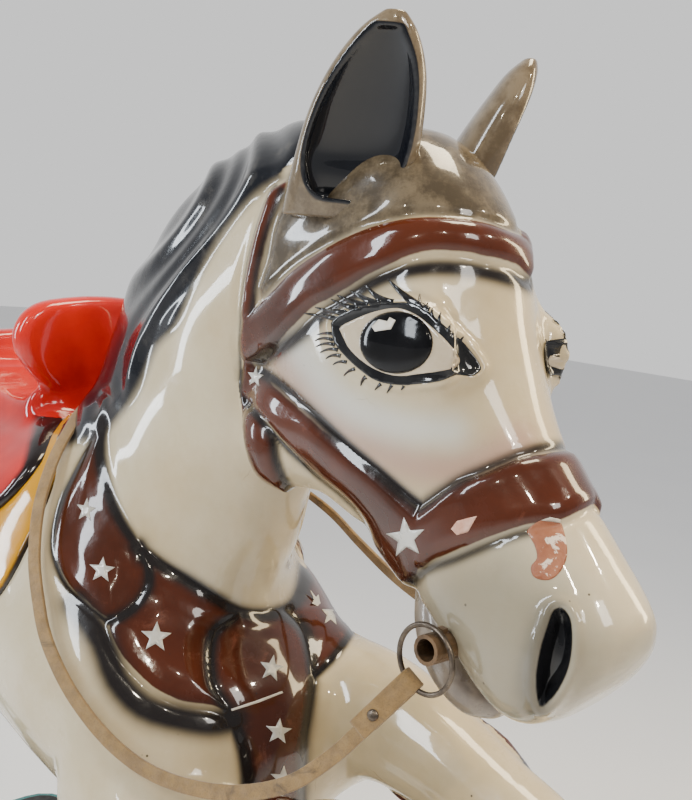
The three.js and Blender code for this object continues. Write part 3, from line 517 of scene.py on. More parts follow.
def normals_of(P):
    me = bpy.data.meshes.new("tmp")
    me.from_pydata(P.tolist(), [], faces)
    me.update()
    n = np.empty(len(P) * 3, np.float32)
    me.vertex_normals.foreach_get("vector", n)
    bpy.data.meshes.remove(me)
    return n.reshape(-1, 3).astype(float)


N = normals_of(P)
dh, dn, dt_ = G.sample(s_head, P), G.sample(s_neck, P), G.sample(s_torso, P)
s_along = (P - HEAD0) @ HEAD_T
head_w = np.clip((np.minimum(dn, 60) - dh + 6) / 12, 0, 1) * (s_along > -75)

# ---------------------------------------------------------------- outlines of the moulded tack and the painted features, on the view plane
BROW = [(243,318),(252,312),(262,303),(275,290),(293,272),(325,250),(356,234),(388,223),(419,218),(451,219),(482,223),(510,233),(560,258),(570,300),(528,276),(514,264),(482,256),(461,252),(432,251),(409,256),(388,266),(365,277),(348,288),(331,298),(314,307),(293,327),(272,350),(257,361),(245,362),(240,340)]
STRIP = [(287,182),(277,205),(268,235),(262,262),(256,290),(254,318),(243,320),(244,290),(250,255),(260,220),(272,190)]
CHEEK = [(245,356),(261,372),(287,397),(316,423),(350,452),(379,475),(402,495),(419,510),(436,530),(420,567),(414,581),(406,604),(401,607),(391,581),(378,558),(368,524),(350,500),(316,472),(287,443),(264,417),(250,402),(241,388)]
NOSE = [(410,520),(431,503),(459,483),(488,472),(517,460),(546,454),(566,451),(640,449),(660,495),(600,502),(580,511),(560,520),(531,524),(503,532),(474,543),(437,558),(420,567),(408,550)]
THROAT = [(242,380),(241,420),(245,446),(257,475),(279,489),(299,500),(286,483),(277,460),(273,437),(262,418),(252,400)]
LOBE1 = [(107,400),(94,439),(80,466),(64,500),(56,535),(57,557),(69,584),(88,602),(108,618),(120,616),(134,602),(144,584),(143,562),(134,541),(120,519),(107,487),(102,455),(104,420)]
LOBE2 = [(141,552),(160,567),(187,584),(214,600),(236,612),(231,620),(214,634),(210,661),(214,688),(230,711),(211,705),(182,701),(155,688),(134,669),(118,648),(110,622),(134,603),(144,584)]
STRAP = [(238,612),(262,616),(281,613),(300,629),(308,653),(311,675),(308,707),(303,739),(301,774),(298,860),(292,960),(258,960),(252,860),(249,790),(244,747),(228,710),(214,688),(210,661),(214,634),(226,620)]
FARLOBE = [(312,505),(329,520),(343,541),(359,567),(363,592),(356,621),(337,651),(313,674),(308,653),(300,629),(289,610),(300,594),(305,573),(308,541)]
MANE = [(316,135),(300,165),(266,188),(238,218),(214,252),(193,292),(177,327),(158,347),(141,388),(126,410),(90,440),(-60,440),(-60,40),(310,40)]
TAUPE = [(262,303),(293,272),(325,250),(356,234),(388,223),(419,218),(451,219),(482,223),(510,235),(560,262),(600,240),(600,60),(290,60),(283,184),(268,235),(256,290)]
MUZZLE = [(412,600),(450,575),(500,566),(535,590),(556,600),(585,640),(600,690),(690,640),(690,760),(400,760),(400,640)]
NOSTRIL = [(560,607),(569,616),(572,633),(570,661),(563,681),(552,698),(541,706),(537,696),(536,676),(541,647),(548,624),(554,610)]
EYE_OUT = [(331,323),(346,312),(367,306),(388,303),(409,303),(426,311),(445,326),(462,341),(476,358),(481,369),(472,376),(457,375),(440,381),(419,384),(398,385),(377,381),(360,370),(344,355),(333,340)]
EYE_IN = [(340,329),(356,319),(377,311),(398,308),(415,314),(432,327),(451,346),(459,360),(457,366),(440,371),(419,374),(398,376),(377,370),(360,359),(348,346)]


def sharp(pts):
    return round_poly(pts, 4)


facing = -(N * unit(P - CAM)).sum(1)
Pn = P.copy(); Pn[:, 0] = -np.abs(P[:, 0])
uv_m = plane_uv(Pn)
uv_o = plane_uv(P)
own = np.where(P[:, 0] < 0, 1.0, np.clip(facing / 0.2, 0, 1))      # how far a point keeps its own place on the view plane
front = P[:, 1] < -120


def both(fn, pts, mask, default):
    out = np.full(len(P), float(default))
    i = np.where(mask)[0]
    d = fn(uv_m[i], pts)
    j = (P[i, 0] > 0) & (own[i] > 0)
    if j.any():
        d[j] = d[j] * (1 - own[i][j]) + fn(uv_o[i[j]], pts) * own[i][j]
    out[i] = d
    return out


is_head = head_w > 0.5
by_head = (head_w > 0.5) | ((dh < np.where(P[:, 2] > 1250, 52, 34)) & (s_along > -110) & (P[:, 2] > 1085))
is_body = front & (head_w < 0.6)
red = np.full(len(P), -99.0)
for pts in (BROW, STRIP, CHEEK, NOSE, THROAT):
    red = np.maximum(red, both(poly_sd, sharp(pts), by_head, -99))
collar = np.full(len(P), -99.0)
for pts in (LOBE1, LOBE2, STRAP):
    collar = np.maximum(collar, both(poly_sd, sharp(pts), is_body & (P[:, 1] < -150), -99))
fm = is_body & (P[:, 0] > -25) & (P[:, 1] < -150)
far = np.full(len(P), -99.0)
ii = np.where(fm)[0]
far[ii] = poly_sd(uv_o[ii], sharp(FARLOBE))
far = np.where(own > 0.3, far, -99)
collar = np.maximum(collar, far)
mane = both(poly_sd, sharp(MANE), (dn < 25) & (head_w < 0.98) & (P[:, 2] > 1030), -99)
taupe = both(poly_sd, TAUPE, (dh < 30) & (s_along > -90), -99)
mane = np.minimum(mane, np.where(taupe > -40, -taupe - 2, 99))
muzzle = both(poly_sd, MUZZLE, is_head & (s_along > 200), -99)
nostril = both(poly_sd, sharp(NOSTRIL), is_head & (s_along > 280), -99)
eye_o = both(poly_sd, sharp(EYE_OUT), is_head, -99)
eye_i = both(poly_sd, sharp(EYE_IN), is_head, -99)

LINES_HEAD = [
    ([(261,361),(290,342),(325,314),(350,297),(372,283),(392,275),(420,269),(450,268),(482,272),(530,285)], 12, .85),
    ([(262,372),(279,383),(316,416),(345,444),(379,472),(402,492),(419,505)], 8, .9),
    ([(419,508),(431,499),(460,480),(488,468),(517,456),(546,447),(575,447)], 9, .75),
    ([(405,592),(425,571),(454,560),(480,549),(517,535),(540,529)], 8, .7),
    ([(246,398),(262,420),(287,449),(316,476),(350,504),(368,527),(378,556)], 4.5, .85),
    ([(241,370),(241,420),(244,446),(256,476),(279,491),(300,501)], 4.5, .85),
    ([(260,416),(273,437),(277,460),(287,484),(299,500)], 5, .8),
    ([(283,190),(268,232),(258,275),(254,312)], 3.5, .7),
    ([(240,380),(240,330),(246,270),(262,212),(275,186)], 3.5, .7),
    ([(330,300),(350,296),(380,292),(410,292),(435,303),(455,320)], 7, .28),
]
LINES_BODY = [
    ([(114,390),(104,420),(101,455),(107,487),(120,519),(134,541),(141,552)], 6.5, .9),
    ([(138,546),(144,555),(150,562)], 11, .95),
    ([(144,552),(149,566),(149,585),(138,604),(120,618),(108,621)], 7.5, .92),
    ([(141,549),(160,564),(187,580),(214,597),(238,611),(262,615),(287,609),(299,596),(305,573),(308,541),(313,508)], 8.5, .92),
    ([(107,404),(93,439),(79,466),(62,500),(53,535),(54,557),(66,586),(86,605),(108,622)], 5, .85),
    ([(76,604),(102,642),(117,680),(143,707),(182,719),(211,723),(231,720)], 18, .95),
    ([(233,616),(213,634),(209,661),(213,688),(228,712),(241,742),(247,774),(250,860),(256,960)], 8.5, .92),
    ([(281,613),(301,629),(309,653),(312,675),(309,707),(304,739),(302,774),(299,860),(293,960)], 8.5, .92),
]
black = np.zeros(len(P))
for pts, w, s in LINES_HEAD:
    black = np.maximum(black, s * np.exp(-(both(line_d, spline(pts, 3, 2), by_head, 999) / w) ** 2 * 1.3))
for pts, w, s in LINES_BODY:
    w *= 1.15
    black = np.maximum(black, s * np.exp(-(both(line_d, spline(pts, 3, 2), is_body & (P[:, 1] < -150), 999) / w) ** 2 * 1.3))
fl = np.full(len(P), 999.0)
fl[ii] = line_d(uv_o[ii], spline([(314,508),(329,520),(344,541),(360,567),(364,592),(357,621),(338,652),(313,678)], 3, 2))
black = np.maximum(black, 0.9 * np.exp(-(np.where(own > 0.3, fl, 999) / 5.5) ** 2 * 1.3))
nost_h = both(line_d, spline([(551,612),(536,650),(530,690),(538,712)], 3, 2), is_head & (s_along > 280), 999)
shade = 0.75 * np.exp(-(nost_h / 15) ** 2)
pink_d = both(line_d, spline([(285,365),(325,415),(380,452),(430,468),(480,462),(520,440)], 3, 2), is_head, 999)
pink = np.exp(-(pink_d / 22) ** 2)
# painted reflection: a pale grey-blue band under the eye, standing in for light reflected off the gloss
reflection_band_d = both(line_d, spline([(300,350),(340,400),(400,425),(450,430)], 3, 2), is_head, 999)
painted_reflection = np.exp(-(reflection_band_d / 20) ** 2)
jawline = both(line_d, spline([(436,632),(451,652),(464,676),(475,695),(485,712),(497,725),(517,733),(540,735)], 3, 2), is_head & (s_along > 230), 999)

# ---------------------------------------------------------------- relief
disp = np.zeros(len(P))
sm = lambda x, a, b: (lambda t: t * t * (3 - 2 * t))(np.clip((x - a) / (b - a), 0, 1))
disp += 4.5 * sm(red, -4, 7) + 2.0 * sm(red, 0, 16)
disp += 3.6 * sm(collar, -6, 10) + 3.0 * sm(collar, 4, 28)
disp -= 1.5 * np.exp(-((red + 5) / 4) ** 2) + 1.5 * np.exp(-((collar + 6) / 5) ** 2)
disp += 3.2 * np.exp(-((eye_o + 2) / 5) ** 2)
disp -= 1.2 * sm(eye_i, -1, 6)
disp += -13 * sm(nostril, -2, 9) + 3.0 * np.exp(-((nostril + 5) / 6) ** 2)
mouth = both(line_d, spline([(447,640),(462,667),(475,693),(487,712),(505,728),(531,735),(560,725)], 3, 2), is_head & (s_along > 230), 999)
disp -= 1.5 * np.exp(-(jawline / 3) ** 2)
# flowing locks of the mane and the forelock ridges
tang = sm(mane, -2, 14)
lock = uv_m[:, 0] * 0.62 + uv_m[:, 1] * 0.30 + 16 * np.sin(uv_m[:, 1] / 46.0 + 0.6) + 7 * np.sin(uv_m[:, 0] / 23.0 + uv_m[:, 1] / 60.0)
ridge = 0.6 * np.sin(lock / 5.2) + 0.4 * np.sin(lock / 2.7 + 1.3)
disp += tang * (5.0 + 3.6 * ridge)
top = sm(taupe, -3, 10) * sm(-dh, -24, -8)
lock2 = (uv_m[:, 1] + 0.68 * uv_m[:, 0]) + 5 * np.sin(uv_m[:, 0] / 30.0)
fade = np.clip((450 - uv_m[:, 0]) / 120, 0.12, 1)
disp += top * (1.2 + fade * (1.5 * np.sin(lock2 / 10.5) + 1.2 * np.sin(lock2 / 18.0 + 1.0)))
# the relief is pushed out along the normals, then smoothed once
zy = P[:, 1]; zz = P[:, 2]
P = P + N * disp[:, None]
P = smooth_pts(P, E, 1, 0.35)
N = normals_of(P)

horse = mesh_object("horse_body", P, faces)
for nm, val in (("a_red", np.maximum(red, collar)), ("a_black", black), ("a_mane", sm(mane, -6, 6)), ("a_taupe", sm(taupe, -6, 8) * sm(-dh, -30, -14)),
                ("a_muz", sm(muzzle, -64, 22)), ("a_nostril", nostril), ("a_shade", shade), ("a_pink", pink), ("a_painted_reflection", painted_reflection),
                ("a_hoof", np.where((P[:, 1] > -300), sm(-P[:, 2], -452, -436), sm(-P[:, 2], -590, -572) * (P[:, 0] > 0) + (P[:, 0] < 0) * sm(P[:, 1] * .9 - P[:, 2] * .4, -690, -672)) * (P[:, 2] < 690))):
    at = horse.data.attributes.new(nm, "FLOAT", "POINT")
    at.data.foreach_set("value", np.asarray(val, np.float32))


# ---------------------------------------------------------------- the horse's paint
CREAM_A, CREAM_B = (0.50, 0.39, 0.22), (0.64, 0.55, 0.38)
RED_A, RED_B = (0.083, 0.019, 0.007), (0.046, 0.012, 0.005)


def gel_paint():
    m, nt, bs = new_mat("gelcoat_paint")
    co = coords(nt)
    n1 = noise(nt, 3.2, 6, 0.6, co)
    n2 = noise(nt, 11, 8, 0.65, co)
    base = mix(nt, mapr(nt, n1, 0.34, 0.66), CREAM_A, CREAM_B)
    base = mix(nt, mapr(nt, n2, 0.5, 0.75, 0, .4), base, (0.50, 0.36, 0.18))
    base = mix(nt, math_(nt, "MULTIPLY", attr(nt, "a_pink"), 0.75), base, (0.42, 0.25, 0.19))
    # painted reflection: pale grey-blue band under the eye mixed into the cream
    base = mix(nt, math_(nt, "MULTIPLY", attr(nt, "a_painted_reflection"), 0.55), base, (0.66, 0.70, 0.68))
    base = mix(nt, math_(nt, "MULTIPLY", attr(nt, "a_muz"), 0.72), base, (0.20, 0.175, 0.125))
    # fine crazing in the gelcoat, only in places
    warp = nt.nodes.new("ShaderNodeVectorMath"); warp.operation = "ADD"
    wn = nt.nodes.new("ShaderNodeTexNoise"); wn.inputs["Scale"].default_value = 18; wn.inputs["Detail"].default_value = 5
    nt.links.new(co, wn.inputs["Vector"])
    sc = nt.nodes.new("ShaderNodeVectorMath"); sc.operation = "SCALE"; sc.inputs["Scale"].default_value = 0.06
    nt.links.new(wn.outputs["Color"], sc.inputs[0]); nt.links.new(co, warp.inputs[0]); nt.links.new(sc.outputs[0], warp.inputs[1])
    crack = math_(nt, "MULTIPLY", mapr(nt, voronoi(nt, 7, co=warp.outputs[0]), 0.0, 0.006, 1, 0), mapr(nt, noise(nt, 5.5, 3, 0.5, co), 0.64, 0.70))
    base = mix(nt, math_(nt, "MULTIPLY", crack, 0.75), base, (0.16, 0.10, 0.05))
    specks = math_(nt, "MULTIPLY", mapr(nt, voronoi(nt, 55, "F1", co), 0.05, 0.075, 1, 0), mapr(nt, noise(nt, 14, 3, 0.5, co), 0.56, 0.62))
    # grey-brown stained poll and forelock
    t_col = mix(nt, mapr(nt, noise(nt, 34, 8, 0.7, co), 0.38, 0.62), (0.060, 0.045, 0.028), (0.15, 0.115, 0.072))
    base = mix(nt, attr(nt, "a_taupe"), base, t_col)
    m_col = mix(nt, mapr(nt, noise(nt, 30, 8, 0.7, co), 0.5, 0.72), (0.008, 0.009, 0.012), (0.055, 0.052, 0.048))
    base = mix(nt, attr(nt, "a_mane"), base, m_col)
    # dark leather red on the moulded bridle and collar, lighter where rubbed
    r_col = mix(nt, mapr(nt, noise(nt, 8, 6, 0.6, co), 0.35, 0.7), RED_A, RED_B)
    r_col = mix(nt, mapr(nt, noise(nt, 26, 9, 0.72, co, .5), 0.58, 0.76, 0, .5), r_col, (0.25, 0.085, 0.05))
    edge = math_(nt, "ADD", attr(nt, "a_red"), math_(nt, "MULTIPLY", math_(nt, "SUBTRACT", noise(nt, 60, 5, 0.6, co), 0.5), 2.2))
    base = mix(nt, mapr(nt, edge, -0.9, 0.9), base, r_col)
    base = mix(nt, attr(nt, "a_shade"), base, (0.10, 0.09, 0.07))
    base = mix(nt, mapr(nt, attr(nt, "a_black"), 0.0, 0.86), base, (0.014, 0.011, 0.010))
    base = mix(nt, mapr(nt, attr(nt, "a_nostril"), -1.0, 0.6), base, (0.006, 0.006, 0.007))
    base = mix(nt, attr(nt, "a_hoof"), base, (0.02, 0.018, 0.016))
    base = mix(nt, math_(nt, "MULTIPLY", specks, 0.85), base, (0.03, 0.02, 0.015))
    nt.links.new(base, bs.inputs["Base Color"])
    nt.links.new(mapr(nt, noise(nt, 13, 7, 0.68, co), 0.32, 0.72, 0.12, 0.34), bs.inputs["Roughness"])
    bs.inputs["Coat Weight"].default_value = 0.75
    bs.inputs["Specular IOR Level"].default_value = 0.12
    bs.inputs["Coat Roughness"].default_value = 0.045
    h = math_(nt, "ADD", math_(nt, "MULTIPLY", noise(nt, 38, 4, 0.5, co), 0.9), math_(nt, "MULTIPLY", crack, -0.5))
    h = math_(nt, "ADD", h, math_(nt, "MULTIPLY", noise(nt, 9, 3, 0.5, co), 2.0))
    bump(nt, bs, h, 0.32, 0.0025)
    return m


horse.data.materials.append(gel_paint())
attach(horse, "carriage")
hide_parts("horse_shell_right", "horse_shell_left", "foreleg_left", "foreleg_right", "hindleg_left", "hindleg_right")

# ---------------------------------------------------------------- decals and inserts laid on the moulding
tree = BVHTree.FromPolygons([Vector(p) for p in P], faces)


def lay(uv, off):
    """Places points of the view plane on the moulding, off mm above it."""
    D = plane_ray(uv)
    out = np.empty((len(uv), 3)); nn = np.empty((len(uv), 3)); ok = np.ones(len(uv), bool)
    for k in range(len(uv)):
        hit, n, _, _ = tree.ray_cast(Vector(CAM), Vector(D[k]))
        if hit is None:
            ok[k] = False
            out[k] = 0; nn[k] = (0, 0, 1)
        else:
            out[k] = hit[:]; nn[k] = n[:]
    off = np.broadcast_to(off, len(uv))[:, None]
    return out + nn * off, nn, ok


def patch(outline, step, off, dome=None):
    """Triangulated patch inside an outline, laid on the moulding. Returns points and faces."""
    O = np.asarray(outline, float)
    seg = []
    for i in range(len(O)):
        a, b = O[i], O[(i + 1) % len(O)]
        k = max(1, int(np.linalg.norm(b - a) / step))
        seg += [a + (b - a) * j / k for j in range(k)]
    seg = np.array(seg)
    x0, y0 = O.min(0); x1, y1 = O.max(0)
    gx_, gy_ = np.meshgrid(np.arange(x0, x1, step), np.arange(y0, y1, step))
    g = np.stack([gx_.ravel(), gy_.ravel()], -1)
    g = g[poly_sd(g, seg) > step * 0.5] if len(g) else g
    pts = np.concatenate([seg, g]) if len(g) else seg
    n = len(seg)
    res = delaunay_2d_cdt([Vector(p) for p in pts], [], [list(range(n))], 1, 1e-5)
    vs = np.array([v[:] for v in res[0]]); fs = [list(f) for f in res[2]]
    o = off if dome is None else off + dome(vs)
    p, nn, ok = lay(vs, o)
    fs = [f for f in fs if all(ok[i] for i in f)]
    return p, fs


def decals(name, patches, mat, thick=0.7, mirror=True):
    V, F = [], []
    base = 0
    for p, fs in patches:
        for sgn in ((1, -1) if mirror else (1,)):
            q = p.copy(); q[:, 0] *= sgn
            V.append(q)
            F += [[i + base for i in (f if sgn == 1 else f[::-1])] for f in fs]
            base += len(q)
    ob = mesh_object(name, np.concatenate(V), F)
    bm = bmesh.new(); bm.from_mesh(ob.data)
    bmesh.ops.delete(bm, geom=[v for v in bm.verts if not v.link_faces], context="VERTS")
    bm.normal_update()
    # make every patch face outwards from the moulding
    flip = []
    for f in bm.faces:
        c = f.calc_center_median() / MM - Vector(SHIFT)
        loc, nn, _, _ = tree.find_nearest(c)
        if f.normal.dot(nn) < 0:
            flip.append(f)
    bmesh.ops.reverse_faces(bm, faces=flip)
    bm.to_mesh(ob.data); bm.free()
    so = ob.modifiers.new("thickness", "SOLIDIFY"); so.thickness = thick * MM; so.offset = -1
    ob.data.materials.append(mat)
    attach(ob, "carriage")
    return ob


def star(c, r, rot=0.0, sq=1.0, inner=0.42):
    pts = []
    for k in range(10):
        a = math.radians(-90 + 36 * k + rot)
        q = r if k % 2 == 0 else r * inner
        pts.append((c[0] + q * math.cos(a) * sq, c[1] + q * math.sin(a)))
    return pts


EYE_BLACK = paint("eye_black_enamel", (0.006, 0.006, 0.007), (0.018, 0.018, 0.018), 30, (0.08, 0.2), coat=0.9, bumps=(0.05, 300), spec=0.1)
EYE_PUPIL = paint("pupil_black_enamel", (0.003, 0.003, 0.0035), (0.007, 0.007, 0.008), 30, (0.08, 0.18), coat=0.35, bumps=(0.05, 300), spec=0.08)
EYE_WHITE = paint("eye_cream_enamel", (0.48, 0.38, 0.25), (0.58, 0.48, 0.34), 24, (0.12, 0.22), coat=0.9, wear=(0.40, 0.30, 0.20))
STAR_MAT = paint("star_foil", (0.52, 0.50, 0.44), (0.62, 0.60, 0.55), 40, (0.25, 0.45), metal=0.15, coat=0.4, wear=(0.34, 0.27, 0.2), wear_scale=60)
CHIP_PINK = paint("chip_primer_pink", (0.60, 0.30, 0.20), (0.72, 0.45, 0.34), 90, (0.5, 0.75), bumps=(0.6, 700), wear=(0.45, 0.2, 0.12), wear_scale=120)
CHIP_RUST = paint("chip_undercoat", (0.26, 0.075, 0.028), (0.36, 0.13, 0.06), 60, (0.3, 0.6), bumps=(0.5, 500), wear=(0.78, 0.62, 0.48), wear_at=(.56, .6), wear_scale=70)
RIM_MAT = paint("chip_edge", (0.62, 0.55, 0.44), (0.72, 0.68, 0.6), 80, (0.3, 0.5))

eye_out, eye_in = sharp(EYE_OUT), sharp(EYE_IN)
decals("eye_liner", [patch(eye_out, 3.0, 0.5)], EYE_BLACK, 0.9)
decals("eye_white", [patch(eye_in, 3.0, 0.9)], EYE_WHITE, 1.0)
pc, pr = np.array([397.0, 342.5]), np.array([36.5, 31.5])
ang = np.linspace(0, 2 * math.pi, 56, endpoint=False)
pupil = pc + np.stack([np.cos(ang), np.sin(ang)], -1) * pr
decals("eye_pupil", [patch(pupil, 2.4, 1.3, lambda v: 4.6 * np.sqrt(np.clip(1 - (((v - pc) / pr) ** 2).sum(1), 0, 1)))], EYE_PUPIL, 1.2)


def dome_lay(v):
    return 4.6 * np.sqrt(np.clip(1 - (((v - pc) / pr) ** 2).sum(1), 0, 1))


decals("eye_glint_chip", [patch([(375,327),(382,320),(391,322),(393,318),(399,321),(395,330),(386,331),(379,332)], 2.0, 1.7, dome_lay)], RIM_MAT, 0.6, mirror=False)


def lash(a, b, c, w):
    """A painted lash: tapered curved stroke from root a through b to tip c."""
    t = np.linspace(0, 1, 9)[:, None]
    a, b, c = (np.array(q, float) for q in (a, b, c))
    L = (1 - t) ** 2 * a + 2 * t * (1 - t) * b + t ** 2 * c
    T = np.gradient(L, axis=0); T /= np.linalg.norm(T, axis=1, keepdims=True)
    n = np.stack([-T[:, 1], T[:, 0]], -1)
    ww = w * (1 - t) ** 0.7 * 0.5 + 0.25
    return np.concatenate([L + n * ww, (L - n * ww)[::-1]])


LASHES = [((338,319),(320,316),(304,313),5),((347,313),(331,312),(315,307),6),((358,309),(345,307),(331,299),6),((368,306),(352,303),(337,295),7),
          ((380,305),(364,300),(350,290),8),((393,304),(376,300),(366,285),9),((428,312),(404,298),(388,279),10),((424,310),(418,303),(420,294),4),
          ((428,314),(426,309),(428,302),4),((434,320),(430,314),(433,308),4),((440,327),(438,319),(441,312),4),((448,334),(448,329),(451,324),4),
          ((460,344),(460,340),(464,336),3),((333,334),(325,332),(317,335),3.4),((333,340),(323,336),(315,341),3.4),((335,345),(325,341),(316,347),3.4),
          ((338,350),(328,347),(320,353),3.4),((341,356),(332,353),(326,359),3.4),((347,362),(338,360),(333,365),3),((355,369),(348,370),(344,376),3.2),
          ((366,377),(362,379),(361,386),3.8),((381,384),(378,386),(375,390),3),((392,385),(390,388),(387,393),3),((404,386),(403,388),(401,390),2.4)]
decals("eye_lashes", [patch(lash(*q), 2.5, 0.45) for q in LASHES], EYE_BLACK, 0.7)
STARS_SYM = [((255.5,377),11,8,.75),((406,538),21,-6,.95),((86,510),12.5,8,.8),((102,570),13.5,6,1),((156,637),16,4,1)]
STARS_ONE = [((271.5,668.5),14,10,.9),((278.5,731.5),13.5,6,1),((283,779),13.5,4,1),((331,614),12.5,4,.8),((338,544),8,0,.7)]
decals("collar_and_bridle_stars", [patch(star(*q), 3.5, 0.45) for q in STARS_SYM], STAR_MAT, 0.7)
decals("chest_stars", [patch(star(*q), 3.5, 0.45) for q in STARS_ONE], STAR_MAT, 0.7, mirror=False)
decals("paint_chip_noseband", [patch([(451,529),(457,521),(468,518),(477,516),(473,523),(468,532),(457,535)], 2.2, 0.3)], CHIP_PINK, 0.6, mirror=False)
decals("paint_chip_nose", [patch(sharp([(527,532),(534,524),(546,519),(559,521),(564,532),(567,555),(560,572),(549,580),(534,577),(531,567),(537,558),(534,544)]), 2.4, 0.3)], CHIP_RUST, 0.6, mirror=False)
decals("paint_chip_nose_edge", [patch([(541,520),(550,517),(560,519),(560,523),(551,521)], 2.0, 0.8), patch([(231,709),(258,700),(282,691),(283,693),(259,702.5),(232,711)], 3, 0.3)], RIM_MAT, 0.5, mirror=False)

# ---------------------------------------------------------------- ears
EAR = [[1330,64,-500,46,27],[1378,74,-526,49,28],[1418,80,-541,45,25],[1452,84,-554,35,19],[1476,86,-562,21,12],[1488.5,87,-567,8,5]]
DISH = [[1346,70,-520,24,9],[1366,76,-532,36,16],[1384,78,-538,39,20],[1418,83,-551,36,19],[1450,87,-563,26,15],[1474,89,-570,11,8]]
EG = Grid((0, -635, 1305), (160, -440, 1500), 1.6)


def ear_loft(rows, back, off=(0, 0)):
    S = spline(np.array(rows, float), 6)
    W = np.array([.7071, .7071, 0]); F = np.array([.7071, -.7071, 0])
    a = 2 * math.pi * (np.arange(40) + .5) / 40
    co, si = np.cos(a), np.sin(a)
    h = np.where(si[None] > 0, S[:, 4:5], S[:, 4:5] * back)
    c = np.stack([S[:, 1] + off[0], S[:, 2] + off[1], S[:, 0]], -1)
    PP = c[:, None] + (S[:, 3:4] * co)[..., None] * W + (h * si)[..., None] * F
    m, k = PP.shape[:2]
    idx = np.arange(m * k).reshape(m, k)
    qd = np.stack([idx[:-1], np.roll(idx, -1, 1)[:-1], np.roll(idx, -1, 1)[1:], idx[1:]], -1).reshape(-1, 4)
    PP = np.concatenate([PP.reshape(-1, 3), c[:1], c[-1:]])
    j = np.arange(k)
    return PP, qd, np.concatenate([np.stack([np.full(k, m * k), (j + 1) % k, j], -1), np.stack([np.full(k, m * k + 1), (m - 1) * k + j, (m - 1) * k + (j + 1) % k], -1)])


e_out = EG.sdf(*ear_loft(EAR, 1.25), 16)
e_in = EG.sdf(*ear_loft(DISH, 1.0, (8, 0)), 16)
ear_a = blur(smax(e_out, -(e_in), 4), 1)
EP, EQ = EG.surface(ear_a)
if np.einsum("ij,ij->i", EP[EQ[:, 0]], np.cross(EP[EQ[:, 1]], EP[EQ[:, 2]])).sum() < 0:
    EQ = EQ[:, ::-1]
EP = smooth_pts(EP, edges_of(EQ), 2)
ear_in = EG.sample(e_in, EP)


def ear_mat():
    m, nt, bs = new_mat("ear_paint")
    co = coords(nt)
    t_col = mix(nt, mapr(nt, noise(nt, 40, 8, 0.7, co), 0.38, 0.62), (0.11, 0.080, 0.048), (0.19, 0.145, 0.092))
    base = mix(nt, mapr(nt, attr(nt, "a_in"), 4.6, 3.2), t_col, (0.006, 0.007, 0.010))
    nt.links.new(base, bs.inputs["Base Color"])
    nt.links.new(mapr(nt, noise(nt, 20, 6, 0.6, co), 0.3, 0.7, 0.1, 0.26), bs.inputs["Roughness"])
    bs.inputs["Coat Weight"].default_value = 0.75
    bs.inputs["Specular IOR Level"].default_value = 0.12
    bs.inputs["Coat Roughness"].default_value = 0.05
    bump(nt, bs, noise(nt, 45, 4, 0.5, co), 0.3, 0.002)
    return m


EAR_MAT = ear_mat()
for side, nm in ((-1, "ear_right"), (1, "ear_left")):
    q = EP.copy(); q[:, 0] *= side
    ob = mesh_object(nm, q, EQ if side == 1 else EQ[:, ::-1])
    at = ob.data.attributes.new("a_in", "FLOAT", "POINT"); at.data.foreach_set("value", np.asarray(ear_in, np.float32))
    ob.data.materials.append(EAR_MAT)
    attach(ob, "carriage")


# ---------------------------------------------------------------- jaw, tail, saddle, blanket
def form(name, grid, arr, mat, nodes, body_name="carriage", smooth=2, relief=None, attrs=()):
    PP, QQ = grid.surface(arr)
    if np.einsum("ij,ij->i", PP[QQ[:, 0]], np.cross(PP[QQ[:, 1]], PP[QQ[:, 2]])).sum() < 0:
        QQ = QQ[:, ::-1]
    PP = smooth_pts(PP, edges_of(QQ), smooth)
    if relief is not None:
        tmp = bpy.data.meshes.new("tmp"); tmp.from_pydata(PP.tolist(), [], QQ.tolist()); tmp.update()
        nn = np.empty(len(PP) * 3, np.float32); tmp.vertex_normals.foreach_get("vector", nn); bpy.data.meshes.remove(tmp)
        PP = PP + nn.reshape(-1, 3) * relief(PP)[:, None]
    ob = mesh_object(name, PP, QQ)
    for k, fn in attrs:
        at = ob.data.attributes.new(k, "FLOAT", "POINT"); at.data.foreach_set("value", np.asarray(fn(PP), np.float32))
    ob.data.materials.append(mat)
    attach(ob, body_name)
    if nodes:
        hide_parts(*nodes)
    return ob


JG = Grid((-60, -800, 940), (60, -560, 1120), 2.0)
jaw = blur(JG.sdf(*loft(jaw_S, 6, 40), 16), 1)
JAW_MAT = paint("jaw_brown_paint", (0.13, 0.10, 0.075), (0.24, 0.19, 0.14), 30, (0.25, 0.5), coat=0.5, wear=(0.36, 0.30, 0.24), wear_scale=26, bumps=(0.4, 90))
form("lower_jaw_moulding", JG, jaw, JAW_MAT, ["lower_jaw"])

TG = Grid((-60, 500, 630), (60, 740, 1050), 3.0)
tail_S = np.array([[0, y, z, 0, 0, 0, w, t, t, 2.1, 2.1] for y, z, w, t in TAIL], float)
tail = blur(TG.sdf(*loft(tail_S, 6, 40, True), 16), 1)
MANE_MAT = paint("mane_black_enamel", (0.008, 0.009, 0.012), (0.03, 0.03, 0.03), 20, (0.12, 0.3), coat=0.9, wear=(0.09, 0.085, 0.08), bumps=(0.2, 60), spec=0.12)
form("tail_moulding", TG, tail, MANE_MAT, ["tail"],
     relief=lambda p: 2.6 * np.sin(np.arctan2(p[:, 0], 20) * 9 + p[:, 2] / 60.0 + np.sin(p[:, 2] / 37.0) * 1.5))

SG = Grid((-225, -270, 845), (225, 275, 1240), 3.0)
sx_, sy_, sz_ = np.meshgrid(*SG.axes(), indexing="ij", sparse=True)
st = blur(SG.sdf(*loft(torso_S), 40), 1)


